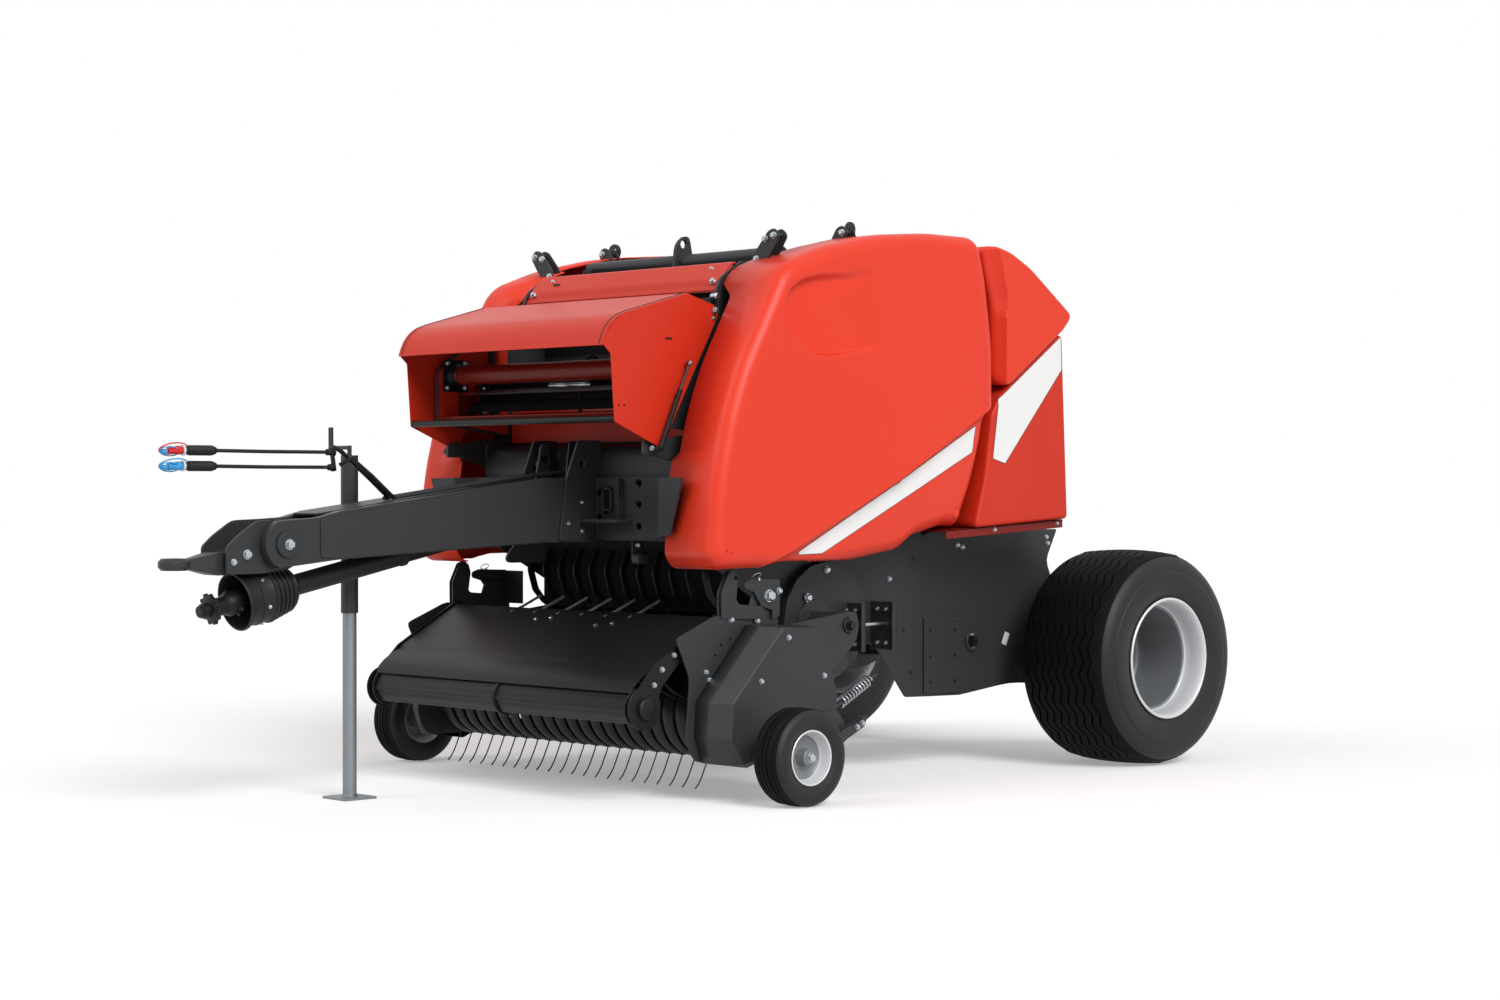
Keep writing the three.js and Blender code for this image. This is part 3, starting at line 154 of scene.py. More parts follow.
# The panel below the spoiler is the same plastic, less glossy, in a slightly deeper red that is painted
# shade.
shaded_red_panel = coated("matt red ABS, painted shade", "#CB3018", "#C32B15", 0.50, 0.010, 0.10, coat=0.02, spec=0.3)
# Dark red enamel on steel: the net roller. It also colours the bars of the net box and the strip
# under the tailgate, where its darkness is painted shade.
deep_red_and_shade = coated("dark red enamel and painted shade", "#7E1D12", "#6A160D", 0.38, 0.008, 0.15, spec=0.2)
# Charcoal chassis enamel, sprayed over welds: satin, with a little dust low down.
charcoal = coated("charcoal chassis enamel", "#303234", "#2A2C2E", 0.44, 0.008, 0.20, dust=0.07, spec=0.30)
# Black powder coat: shafts, small brackets, bands.
black_paint = coated("black powder coat", "#17181A", "#131415", 0.42, 0.007, 0.20, dust=0.04, spec=0.22)
# Injection moulded black polyethylene: the shaft's guard, the grips.
black_plastic = coated("moulded black polyethylene", "#1A1B1C", "#161718", 0.50, 0.006, 0.25, spec=0.3)
# Wheel enamel with aluminium flake: pale, soft gleam, no mirror.
silver_paint = coated("silver wheel enamel", "#DFE1E3", "#D2D4D7", 0.36, 0.004, 0.12, dust=0.06, metal=0.15)
# The wheel's disc and the rim's inner half are a duller, darker grey: painted shade deep in the dish,
# with some dust low down.
disc_shade_and_dust = coated("dull grey, painted shade and dust", "#7F8285", "#6C6F72", 0.45, 0.006, 0.15, dust=0.08, metal=0.2)
# Zinc plating on bolts, pins and springs: bright metal, slightly cloudy.
zinc = coated("zinc plated steel", "#C8CCD0", "#A9AEB4", 0.32, 0.004, 0.10, metal=1.0)
# The jack leg and the crop rods are hot dip galvanised: the same metal, but duller and blotchy.
galvanised = coated("hot dip galvanised steel", "#8E9397", "#777C80", 0.55, 0.010, 0.20, metal=0.8)
# White cast vinyl film: the stripes.
white_film = coated("white vinyl film", "#EDEDEC", "#E4E4E3", 0.40, 0.006, 0.05)
# The thin border round each stripe is cut from a dark film.
dark_film = coated("dark vinyl film", "#4A2F2B", "#432A27", 0.45, 0.006, 0.05)
# Acrylic lenses of the rear lamps.
amber_lens = coated("amber acrylic", "#D8741B", "#C96512", 0.15, 0.006, 0.05, coat=0.5)
# Soft PVC, dyed right through: the caps and straps of the hydraulic couplings.
blue_plastic = coated("soft blue PVC", "#3AA3DC", "#2F93CC", 0.45, 0.004, 0.10)
red_plastic = coated("soft red PVC", "#E3232B", "#D01C24", 0.45, 0.004, 0.10)
print("coated finishes", len(bpy.data.materials))

# %% [markdown]
# Tyre rubber is black from carbon, but never quite black: the sidewall has a satin bloom, and the
# moulded surface is finely pitted. Roughness stays high, so the shoulder only glows faintly.

# %% Rubber
rubber, tree, where = new_material("vulcanised tyre rubber")
bloom = node(tree, "ShaderNodeTexNoise", {"Vector": where, "Scale": 7.0, "Detail": 5.0})
pits = node(tree, "ShaderNodeTexNoise", {"Vector": where, "Scale": 160.0, "Detail": 3.0})
shade = node(tree, "ShaderNodeValToRGB", {"Fac": bloom.outputs["Fac"]})
shade.color_ramp.elements[0].position, shade.color_ramp.elements[0].color = 0.3, linear("#101112")
shade.color_ramp.elements[1].position, shade.color_ramp.elements[1].color = 0.75, linear("#191A1B")
bump = node(tree, "ShaderNodeBump", {"Height": pits.outputs["Fac"], "Strength": 0.25, "Distance": 0.001})
shader = node(tree, "ShaderNodeBsdfPrincipled", {
    "Base Color": shade.outputs["Color"], "Roughness": 0.52, "Normal": bump.outputs["Normal"],
    "Specular IOR Level": 0.35})
node(tree, "ShaderNodeOutputMaterial", {"Surface": shader.outputs[0]})
# The tread has no bloom and a duller surface; its deeper black is painted shade, as the tread
# faces away from the lamps. Drilled holes take the same black as painted shade.
painted_shade_black = coated("scrubbed tread rubber", "#0B0B0C", "#080809", 0.70, 0.005, 0.30, spec=0.12)
print(rubber.name, "and", painted_shade_black.name)

# %% [markdown]
# Every new piece ends the same way: its mesh becomes an object at the origin, smooth where faces
# meet gently and sharp elsewhere, riding on the CAD body that it belongs to.

# %% Finishing a piece
def place(x, y, z):
    """A point in the frame, from metres measured at the rear axle's line."""
    return Vector((x, y + AXLE_Y, z))


# The record's material slot that each finish stands for. Where two share a slot, the first is its
# main finish.
SLOT_OF = {
    red_moulding: "red_moulding", shaded_red_panel: "red_moulding", red_paint: "red_paint",
    deep_red_and_shade: "deep_red_paint", charcoal: "charcoal_paint", black_paint: "black_paint",
    black_plastic: "black_plastic", silver_paint: "silver_paint", zinc: "zinc",
    galvanised: "zinc", rubber: "tyre_rubber", painted_shade_black: "black_plastic", amber_lens: "lamp_plastic",
}


def piece(name, bm, body, material, *nodes, slot=None, sharp=35, even=True):
    """Turns a bmesh into a finished object on a body, standing for those CAD nodes. The slot of its
    finish, or the one given (none for small fittings that no slot should recolour), is looked up but not
    set on the object."""
    mesh = bpy.data.meshes.new(name)
    bm.to_mesh(mesh)
    bm.free()
    mesh.materials.append(material)
    mesh.shade_smooth()
    mesh.set_sharp_from_angle(angle=radians(sharp))
    made = bpy.data.objects.new(name, mesh)
    bpy.context.scene.collection.objects.link(made)
    if even:
        # Weighted normals keep flat faces evenly lit beside their rounded edges.
        weighted = made.modifiers.new("even shading", "WEIGHTED_NORMAL")
        weighted.keep_sharp = True
    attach(made, body)
    if nodes:
        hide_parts(*nodes)
    slot = SLOT_OF.get(material) if slot is None else slot
    return made


def bevelled(bm, geom, width, segments, clamp=True, affect="EDGES"):
    """Rounds those edges, or corners, to a radius."""
    bmesh.ops.bevel(bm, geom=geom, offset=width, offset_type="OFFSET", segments=segments, profile=0.5,
                    affect=affect, clamp_overlap=clamp, material=-1)


def outwards(bm):
    """Turns every face's normal outwards."""
    bmesh.ops.recalc_face_normals(bm, faces=bm.faces)


def steep(bm, degrees):
    """The edges where two faces meet at more than that angle."""
    return [e for e in bm.edges if e.is_manifold and e.calc_face_angle(0) > radians(degrees)]


def walled(made, thickness):
    """Gives a skin its wall thickness, measured inwards."""
    wall = made.modifiers.new("wall", "SOLIDIFY")
    wall.thickness, wall.offset = thickness, -1


def pulled(bm, edges, shift):
    """Draws a sheet out of a line of edges."""
    made = bmesh.ops.extrude_edge_only(bm, edges=edges)["geom"]
    bmesh.ops.translate(bm, verts=[g for g in made if isinstance(g, bmesh.types.BMVert)], vec=shift)


STEEL_EDGE = 0.002  # the radius that cutting and blasting leave on plate
MOULDED = 0.006  # wall of the plastic mouldings
PRESSED = 0.003  # wall of pressed and folded sheet


def softened(node_name, material):
    """A CAD node's shape with its hard edges rounded, as cut and pressed steel has them."""
    bm = bmesh.new()
    bm.from_mesh(frame["nodes"][node_name].data)
    bmesh.ops.remove_doubles(bm, verts=bm.verts, dist=1e-5)
    bmesh.ops.dissolve_limit(bm, angle_limit=radians(0.5), verts=bm.verts, edges=bm.edges)
    hard = [e for e in steep(bm, 33) if e.calc_length() > STEEL_EDGE * 2.5]
    bevelled(bm, hard, STEEL_EDGE, 2, clamp=False)
    piece(node_name + "_steel", bm, BODY_OF[node_name], material, node_name)


print("helpers ready")

# %% [markdown]
# Cut, bent and welded steel makes up the chassis. The CAD shapes are right, but a real plate has
# no knife edge: light catches a 2 mm radius. A copy of each node is merged and bevelled.

# %% Steelwork
STEEL = {
    charcoal: ["axle_beam", "chamber_side_left", "chamber_side_right", "chassis_plate_left",
               "chassis_plate_right",
               "chamber_roof", "front_beam", "drawbar_beam_left", "drawbar_beam_right", "drawbar_head",
               "towing_eye",
               "gearbox", "top_tube", "pickup_frame", "gauge_arm_left", "gauge_arm_right", "tailgate_shell",
               "feed_rotor"],
    red_paint: ["crossbar"],
    red_moulding: ["tailgate_cover"],
    black_paint: ["chamber_front"],
    # The net box's dark red is painted shade.
    deep_red_and_shade: ["net_box"],
}
for material, names in STEEL.items():
    for name in names:
        softened(name, material)
print("softened", sum(len(names) for names in STEEL.values()))

# %% [markdown]
# The doors and tailgate panels are thermoformed: a heated plastic sheet sucked over a mould. So each
# is one skin with generous round edges, a step along a diagonal, and shallow recesses, all of one
# thickness. An outline is rounded at its corners, extruded to the tub's depth and its outer rim
# bevelled. Straight cuts then give the skin enough points to press the relief into it.

# %% Moulding helpers
def rounded_outline(bm, points, x):
    """A face at x from (y, z, radius) corners in metres, with its corners rounded."""
    verts = [bm.verts.new(place(x, y, z)) for y, z, *_ in points]
    bm.faces.new(verts)
    for i, (y, z, *rest) in enumerate(points):
        if not rest:
            continue
        before = Vector(points[i - 1][:2]) - Vector((y, z))
        after = Vector(points[(i + 1) % len(points)][:2]) - Vector((y, z))
        cut = rest[0] / tan(before.angle(after) / 2)
        cut = min(cut, before.length * 0.48, after.length * 0.48)
        bevelled(bm, [verts[i]], cut, 6, clamp=False, affect="VERTICES")


def slice_at(bm, faces, point, normal):
    """Cuts those faces, or all of them, along a plane."""
    faces = list(faces if faces is not None else bm.faces)
    edges = {e for f in faces for e in f.edges}
    verts = {v for f in faces for v in f.verts}
    bmesh.ops.bisect_plane(bm, geom=[*verts, *edges, *faces], dist=1e-6, plane_co=point, plane_no=normal)


def grid(bm, step, y0, y1, z0, z1, inside=False):
    """Cuts the skin every step along Y and Z between those limits, only inside them if asked."""
    def chosen():
        if not inside:
            return None
        return [f for f in bm.faces if y0 <= f.calc_center_median().y - AXLE_Y <= y1
                and z0 <= f.calc_center_median().z <= z1]
    for i in range(int((y1 - y0) / step) + 1):
        slice_at(bm, chosen(), place(0, y0 + i * step, 0), (0, 1, 0))
    for i in range(int((z1 - z0) / step) + 1):
        slice_at(bm, chosen(), place(0, 0, z0 + i * step), (0, 0, 1))


def tub(points, outer, inner, rim, segments):
    """A tub open towards the chamber: its outline extruded from outer to inner, its rim rounded."""
    bm = bmesh.new()
    rounded_outline(bm, points, outer)
    face = bm.faces[:][0]
    out = bmesh.ops.extrude_face_region(bm, geom=[face])
    moved = [v for v in out["geom"] if isinstance(v, bmesh.types.BMVert)]
    bmesh.ops.translate(bm, verts=moved, vec=(inner - outer, 0, 0))
    outwards(bm)
    rim_edges = [e for e in bm.edges if all(abs(v.co.x - outer) < 1e-5 for v in e.verts)]
    bevelled(bm, rim_edges, rim, segments, clamp=False)
    floor = [f for f in bm.faces if all(abs(v.co.x - inner) < 1e-5 for v in f.verts)]
    bmesh.ops.delete(bm, geom=floor, context="FACES")
    return bm


def mirrored(bm):
    """The same moulding for the machine's right side, with its normals turned outwards again."""
    bmesh.ops.scale(bm, vec=(-1, 1, 1), verts=bm.verts)
    bmesh.ops.reverse_faces(bm, faces=bm.faces)


def smooth_step(low_edge, high_edge, value):
    """0 before the first edge, 1 past the second, eased between; the edges may run either way."""
    share = min(1, max(0, (value - low_edge) / (high_edge - low_edge)))
    return share * share * (3 - 2 * share)


def reach(points, y, z):
    """How far a point lies inside an outline of (y, z), negative outside."""
    inside, nearest = False, 9
    for (y0, z0), (y1, z1) in zip(points, points[1:] + points[:1]):
        if (z0 > z) != (z1 > z) and y < (y1 - y0) * (z - z0) / (z1 - z0) + y0:
            inside = not inside
        along = Vector((y1 - y0, z1 - z0))
        share = min(1, max(0, ((y - y0) * along.x + (z - z0) * along.y) / along.length_squared))
        nearest = min(nearest, sqrt((y - y0 - share * along.x) ** 2 + (z - z0 - share * along.y) ** 2))
    return nearest if inside else -nearest


print("moulding helpers ready")

# %% [markdown]
# The door's relief is worked out from distances on its side. Along a diagonal the skin drops behind
# a sharp lip and curves out of it in a soft hollow, 44 mm deep in all, so the white stripe that lies
# there shades from grey to white. Near the top is a scooped recess for a maker's badge, left bare:
# deepest at its left edge, it runs out to nothing at its right. Higher up the side leans in.

# %% Door relief
DOOR_X, DOOR_INNER = 0.950, 0.702
BADGE = [(-1.515, 2.103), (-1.685, 2.066), (-1.846, 2.052), (-1.942, 2.030), (-2.010, 1.988),
         (-2.046, 1.932), (-2.044, 1.860), (-2.013, 1.800), (-1.952, 1.756), (-1.868, 1.724),
         (-1.793, 1.722), (-1.576, 1.752), (-1.500, 1.780)]
DIAGONAL = [(-0.815, 1.548), (-1.390, 1.237), (-2.137, 0.897)]


def below_diagonal(y, z):
    """How far a point lies below the door's bent diagonal."""
    (y0, z0), (y1, z1), (y2, z2) = DIAGONAL
    first = ((z0 - z) * (y0 - y1) - (y0 - y) * (z0 - z1)) / sqrt((y0 - y1) ** 2 + (z0 - z1) ** 2)
    second = ((z1 - z) * (y1 - y2) - (y1 - y) * (z1 - z2)) / sqrt((y1 - y2) ** 2 + (z1 - z2) ** 2)
    share = smooth_step(y1 - 0.05, y1 + 0.05, y)
    return first * share + second * (1 - share)


def door_depth(y, z):
    """How far the door's skin lies inside its outer face at that point."""
    below = below_diagonal(y, z)
    hollow = 1 - min(1, max(0, below) / 0.062)
    step = 0.012 * smooth_step(-0.001, 0.004, below) + 0.032 * (1 - hollow ** 2) + 0.11 * max(0,
        below - 0.10)
    wall = 0.016 + 0.020 * smooth_step(1.80, 1.97, z)
    badge = 0.052 * min(1, max(0, (-1.50 - y) / 0.46)) * smooth_step(-0.001, wall, reach(BADGE, y, z))
    crown = 0.014 * min(1, max(0, (z - 1.75) / 0.5)) ** 2
    return step + badge + crown


print("door depth at the badge", round(door_depth(-1.95, 1.95), 4))

# %% Doors
DOOR = [(-2.420, 0.945, 0.05), (-2.402, 1.234, 1.2), (-2.310, 1.600, 1.2), (-2.040, 2.072, 0.16),
        (-1.794, 2.162, 0.9), (-1.500, 2.226, 0.9), (-1.180, 2.252, 1.2), (-0.885, 2.250, 0.075),
        (-0.846, 2.090, 0.8), (-0.806, 1.780, 0.8), (-0.806, 1.545, 0.10), (-0.866, 1.240, 0.9),
        (-0.952, 1.040, 0.03), (-1.042, 1.046, 0.08), (-1.221, 1.008, 0.10), (-1.319, 0.948, 0.12),
        (-1.700, 0.897, 0.2), (-2.380, 0.890, 0.05)]


def door(side, name):
    bm = tub(DOOR, DOOR_X, DOOR_INNER, 0.062, 9)
    grid(bm, 0.035, -2.42, -0.80, 0.89, 2.26)
    # Finer cuts follow the diagonal and fill the badge's window.
    for (y0, z0), (y1, z1) in zip(DIAGONAL, DIAGONAL[1:]):
        along = Vector((0, y1 - y0, z1 - z0)).normalized()
        normal = Vector((0, along.z, -along.y))
        for offset in (-0.001, 0.001, 0.004, 0.010, 0.018, 0.027, 0.036, 0.047, 0.058, 0.070, 0.100):
            slice_at(bm, None, place(0, y0, z0) + normal * offset, normal)
    grid(bm, 0.0055, -2.06, -1.49, 1.71, 2.12, inside=True)
    for v in bm.verts:
        weight = smooth_step(0.80, 0.885, v.co.x)
        v.co.x -= weight * door_depth(v.co.y - AXLE_Y, v.co.z)
        # The front wall reaches further in above and below the gas struts.
        if v.co.x < 0.71 and v.co.y - AXLE_Y < -1.85:
            v.co.x -= 0.075 * smooth_step(1.95, 2.02, v.co.z) + 0.038 * smooth_step(1.335, 1.315, v.co.z)
    # Triangles stay flat when the stripe is cut from them, so it lies true on the hollow.
    bent = [f for f in bm.faces if f.calc_center_median().x > 0.8 and f.calc_center_median().z < 1.6]
    bmesh.ops.triangulate(bm, faces=bent)
    # Its underside is open above the pickup, which rises into the hollow when it is lifted.
    for point, normal in ((place(0, -2.350, 0), (0, 1, 0)), (place(0, -1.330, 0), (0, 1, 0)),
                          ((0.905, 0, 0), (1, 0, 0))):
        slice_at(bm, None, point, normal)
    mouth = [f for f in bm.faces if -2.350 < f.calc_center_median().y - AXLE_Y < -1.330
             and f.calc_center_median().x < 0.905 and f.calc_center_median().z < 1.02
             and (abs(f.normal.x) < 0.4 or f.calc_center_median().z < 0.915)]
    bmesh.ops.delete(bm, geom=mouth, context="FACES")
    if side < 0:
        mirrored(bm)
    made = piece(name, bm, name, red_moulding, name.replace("door", "side_panel"), sharp=50, even=False)
    walled(made, MOULDED)
    return made


for side, name in ((1, "door_left"), (-1, "door_right")):
    made = door(side, name)
    print(name, len(made.data.polygons), "faces")

# %% [markdown]
# Behind each door the tailgate carries two mouldings of the same kind: a flat panel, and above it a
# spoiler whose rear corner runs out to a point. They are smaller and tighter, so 16 to 30 mm edges.

# %% Tailgate mouldings
GATE_INNER = 0.5905
PANEL = [(-0.738, 1.592, 0.02), (-0.334, 1.876, 0.02), (-0.296, 1.070, 0.02), (-0.896, 1.036, 0.02),
         (-0.828, 1.262, 0.9), (-0.790, 1.516, 0.05)]
SPOILER = [(-0.828, 2.230, 0.03), (-0.690, 2.200, 0.25), (-0.560, 2.138, 0.35), (-0.286, 1.946, 0.03),
           (-0.346, 1.882, 0.03), (-0.752, 1.598, 0.05), (-0.754, 1.960, 0.3), (-0.800, 2.110, 0.3)]


def spoiler_depth(y, z):
    """A channel runs down the spoiler behind the door's edge: wide above, narrow below its kink."""
    front = -0.754 if z < 1.96 else -0.754 - (z - 1.96) * 0.27
    wide = 0.030 + 0.024 * smooth_step(1.92, 2.00, z)
    bottom = min(1, max(0, 1 - (y - front) / wide))
    return 0.075 * bottom * (1 - 0.35 * bottom)


for side, end in SIDES:
    for name, outline, outer, rim in (("tailgate_panel", PANEL, 0.908, 0.014),
                                      ("tailgate_spoiler", SPOILER, 0.930, 0.016)):
        bm = tub(outline, outer, GATE_INNER, rim, 6)
        grid(bm, 0.04, -0.90, -0.28, 1.03, 2.24)
        if name == "tailgate_spoiler":
            # Cuts along the channel: upright below its kink, slanting above.
            for i in range(1, 11):
                for slant in (0, 0.27):
                    slice_at(bm, None, place(0, -0.754 + 0.006 * i, 1.96), (0, 1, slant))
            for v in bm.verts:
                v.co.x -= smooth_step(0.84, 0.90, v.co.x) * spoiler_depth(v.co.y - AXLE_Y, v.co.z)
        if side < 0:
            mirrored(bm)
        # The panel's deeper red is painted shade.
        finish = red_moulding if name == "tailgate_spoiler" else shaded_red_panel
        made = piece(f"{name}_{end}_skin", bm, "tailgate", finish, f"{name}_{end}", sharp=50, even=False)
        walled(made, MOULDED)
        print(made.name, len(made.data.polygons))

# %% [markdown]
# The white stripes are vinyl film, cut with a straight edge and stuck on. Each is cut from a copy
# of the skin under it and lifted 1 mm, so it follows the relief exactly. A narrow border of dark
# film draws a thin line round the white.

# %% Stripes
STRIPE_DOOR = [(-1.972, 0.938, 0.012), (-1.800, 0.942, 0.008), (-0.911, 1.350, 0.008),
               (-0.895, 1.467, 0.010)]
STRIPE_GATE = [(-0.345, 1.858, 0.006), (-0.340, 1.712, 0.006), (-0.709, 1.304, 0.014),
               (-0.789, 1.325, 0.010), (-0.750, 1.578, 0.010)]
BORDER = 0.0028  # width of the dark border


def film(name, outline, under, body, side):
    """A bordered sheet of film, cut from a moulding's own skin so that it lies true on it."""
    flat = bmesh.new()
    rounded_outline(flat, outline, 0)
    corners = [(v.co.y - AXLE_Y, v.co.z) for v in flat.faces[:][0].verts]
    flat.free()
    middle = Vector([sum(c) / len(corners) for c in zip(*corners)])
    bm = bmesh.new()
    bm.from_mesh(under.data)
    bmesh.ops.delete(bm, geom=[f for f in bm.faces if side * f.calc_center_median().x < 0.85],
                     context="FACES")
    for border in (0, BORDER):
        for (y0, z0), (y1, z1) in zip(corners, corners[1:] + corners[:1]):
            normal = Vector((0, z1 - z0, y0 - y1)).normalized()
            if normal.y * (middle.x - y0) + normal.z * (middle.y - z0) > 0:
                normal.negate()
            if border and abs(y1 - y0) + abs(z1 - z0) < 0.02:
                continue
            bmesh.ops.bisect_plane(bm, geom=[*bm.verts, *bm.edges, *bm.faces], dist=1e-6,
                                   clear_outer=not border,
                                   plane_co=place(0, y0, z0) - normal * border, plane_no=normal)
    for face in bm.faces:
        spot = face.calc_center_median()
        face.smooth, face.material_index = True, int(reach(corners, spot.y - AXLE_Y, spot.z) < BORDER)
    bmesh.ops.translate(bm, verts=bm.verts, vec=(side * 0.0010, 0, 0))
    bmesh.ops.solidify(bm, geom=bm.faces[:], thickness=0.0004)
    outwards(bm)
    made = piece(name, bm, body, white_film, sharp=30, even=False)
    made.data.materials.append(dark_film)


for side, end in SIDES:
    under = bpy.data.objects[f"door_{end}"]
    film(f"stripe_door_{end}", STRIPE_DOOR, under, under.name, side)
    under = bpy.data.objects[f"tailgate_panel_{end}_skin"]
    film(f"stripe_tailgate_{end}", STRIPE_GATE, under, "tailgate", side)
print("stripes", 4)

# %% [markdown]
# A wheel is a shape that turns, so it is spun: one closed profile of (distance along the axle,
# radius) goes round the axle, and the last ring merges with the first.

# %% Spinning a profile
def spun(profile, centre, axis, steps, closed=True):
    """A profile of (along, radius) turned about an axis through centre, as a bmesh."""
    bm = bmesh.new()
    direction = Vector(axis).normalized()
    across = direction.orthogonal().normalized()
    if abs(direction.x) > 0.9:
        across = Vector((0, 0, 1))
    verts = [bm.verts.new(Vector(centre) + direction * along + across * radius) for along,
             radius in profile]
    edges = [bm.edges.new(pair) for pair in zip(verts, verts[1:])]
    if closed:
        edges.append(bm.edges.new((verts[-1], verts[0])))
    bmesh.ops.spin(bm, geom=[*verts, *edges], cent=centre, axis=direction, dvec=(0, 0, 0), angle=2 * pi,
                   steps=steps, use_merge=True, use_duplicate=False)
    bmesh.ops.remove_doubles(bm, verts=bm.verts, dist=1e-6)
    outwards(bm)
    return bm


print("spin ready")

# %% [markdown]
# The rear tyres are wide flotation tyres. Nine zig-zag grooves run round the tread between smooth,
# well rounded shoulders. The grooves are part of the profile; after spinning, every tread point
# moves sideways to and fro, which bends straight grooves into zig-zags of 120 mm.

# %% Rear tyres
def tyre(name, body, centre, side_points, grooves, spacing, groove, depth, radius, swing, waves, steps,
         shoulder, shade_band):
    tread = []
    for i in range(grooves):
        at = (i - (grooves - 1) / 2) * spacing
        drop = 0.010 * (abs(at) / (spacing * grooves / 2)) ** 2
        tread += [(at - groove / 2, radius - drop), (at - groove / 3.4, radius - drop - depth),
                  (at + groove / 3.4, radius - drop - depth), (at + groove / 2, radius - drop)]
    profile = side_points + tread + [(-a, r) for a, r in reversed(side_points)]
    bm = spun(profile, centre, (1, 0, 0), steps)
    if swing:
        for v in bm.verts:
            off = v.co - Vector(centre)
            r = sqrt(off.y ** 2 + off.z ** 2)
            if abs(off.x) < shoulder and r > radius - depth - 0.014:
                phase = (atan2(off.z, off.y) / (2 * pi) * waves) % 1
                v.co.x += swing * (4 * abs(phase - 0.5) - 1)
    for face in bm.faces:
        middle = face.calc_center_median() - Vector(centre)
        # The outer band of the tread takes the near-black of painted shade.
        face.material_index = int(sqrt(middle.y ** 2 + middle.z ** 2) > radius - shade_band)
    made = piece(name, bm, body, rubber, name.replace("_rubber", ""), sharp=38, even=False)
    made.data.materials.append(painted_shade_black)
    print(name, len(made.data.polygons))


REAR_RADIUS, GAUGE_RADIUS = 0.466, 0.1875
REAR_SIDE = [(-0.205, 0.2475), (-0.215, 0.2495), (-0.226, 0.258), (-0.232, 0.269), (-0.241, 0.290),
             (-0.2455, 0.318), (-0.2475, 0.345), (-0.2475, 0.362), (-0.2465, 0.374), (-0.2435, 0.3775),
             (-0.243, 0.392), (-0.238, 0.410), (-0.230, 0.4255), (-0.219, 0.438), (-0.205, 0.447),
             (-0.190, 0.4525)]
low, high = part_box("rear_tyre_left")
rear_centre = (low + high) / 2
for side, end in SIDES:
    centre = Vector((side * rear_centre.x, rear_centre.y, rear_centre.z))
    tyre(f"rear_tyre_{end}_rubber", f"rear_wheel_{end}", centre, REAR_SIDE, 9, 0.0415, 0.010, 0.011,
         REAR_RADIUS, 0.013, 24, 168, 0.187, 0.024)

# %% [markdown]
# The gauge wheels carry small ribbed tyres, with four straight grooves.

# %% Gauge tyres
GAUGE_SIDE = [(-0.058, 0.098), (-0.064, 0.104), (-0.0655, 0.112), (-0.071, 0.122), (-0.0755, 0.136),
              (-0.0762, 0.150), (-0.0745, 0.163), (-0.069, 0.174), (-0.060, 0.181), (-0.052, 0.1845)]
low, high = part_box("gauge_tyre_left")
gauge_centre = (low + high) / 2
for side, end in SIDES:
    centre = Vector((side * gauge_centre.x, gauge_centre.y, gauge_centre.z))
    tyre(f"gauge_tyre_{end}_rubber", f"gauge_wheel_{end}", centre, GAUGE_SIDE, 4, 0.023, 0.0075, 0.006,
         GAUGE_RADIUS, 0, 1, 72, 0.05, 0.008)

# %% [markdown]
# Rims are pressed steel. The rear ones are deep dishes: a rolled flange, a conical barrel with a
# ledge, and far inside the disc with its hub. The profile is a closed wall 6 mm thick.

# %% Rims
def rim(name, body, centre, side, profile, steps, disc):
    """A rim whose disc, inside that radius, and inner half take a darker grey: painted shade, with dust."""
    bm = spun([(side * a, r) for a, r in profile], centre, (1, 0, 0), steps)
    for face in bm.faces:
        middle = face.calc_center_median() - Vector(centre)
        face.material_index = int(sqrt(middle.y ** 2 + middle.z ** 2) < disc or side * middle.x < -0.09)
    made = piece(name, bm, body, silver_paint, name.replace("_dish", ""), sharp=40, even=False)
    made.data.materials.append(disc_shade_and_dust)


REAR_RIM = [(0.236, 0.262), (0.240, 0.258), (0.240, 0.253), (0.235, 0.248), (0.226, 0.244),
            (0.215, 0.240), (0.180, 0.234), (0.150, 0.231), (0.142, 0.226), (0.138, 0.217),
            (0.060, 0.208), (-0.060, 0.204), (-0.086, 0.202), (-0.094, 0.196), (-0.098, 0.186),
            (-0.098, 0.120), (-0.092, 0.108), (-0.080, 0.100), (-0.078, 0.066), (-0.062, 0.062),
            (-0.040, 0.058), (-0.036, 0.050), (-0.034, 0.0), (-0.110, 0.0), (-0.110, 0.190),
            (-0.118, 0.205), (-0.20, 0.228), (-0.225, 0.240), (-0.234, 0.258), (-0.228, 0.262),
            (-0.215, 0.246), (-0.1, 0.216), (0.13, 0.236), (0.21, 0.246), (0.226, 0.256)]
GAUGE_RIM = [(0.066, 0.106), (0.068, 0.103), (0.066, 0.099), (0.058, 0.096), (0.050, 0.093),
             (0.030, 0.088), (0.022, 0.084), (0.016, 0.074), (0.012, 0.050), (0.014, 0.036),
             (0.030, 0.032), (0.052, 0.030), (0.055, 0.026), (0.056, 0.0), (-0.060, 0.0),
             (-0.060, 0.036), (0.000, 0.040), (0.004, 0.078), (-0.030, 0.084), (-0.055, 0.096),
             (-0.066, 0.104), (-0.060, 0.106), (-0.045, 0.092), (0.045, 0.096), (0.058, 0.104)]
for side, end in SIDES:
    rim(f"rear_rim_{end}_dish", f"rear_wheel_{end}", (side * rear_centre.x, rear_centre.y, rear_centre.z),
        side, REAR_RIM, 72, 0.222)
    rim(f"gauge_rim_{end}_dish", f"gauge_wheel_{end}",
        (side * gauge_centre.x, gauge_centre.y, gauge_centre.z), side, GAUGE_RIM, 48, 0.080)
print("rims", 4)

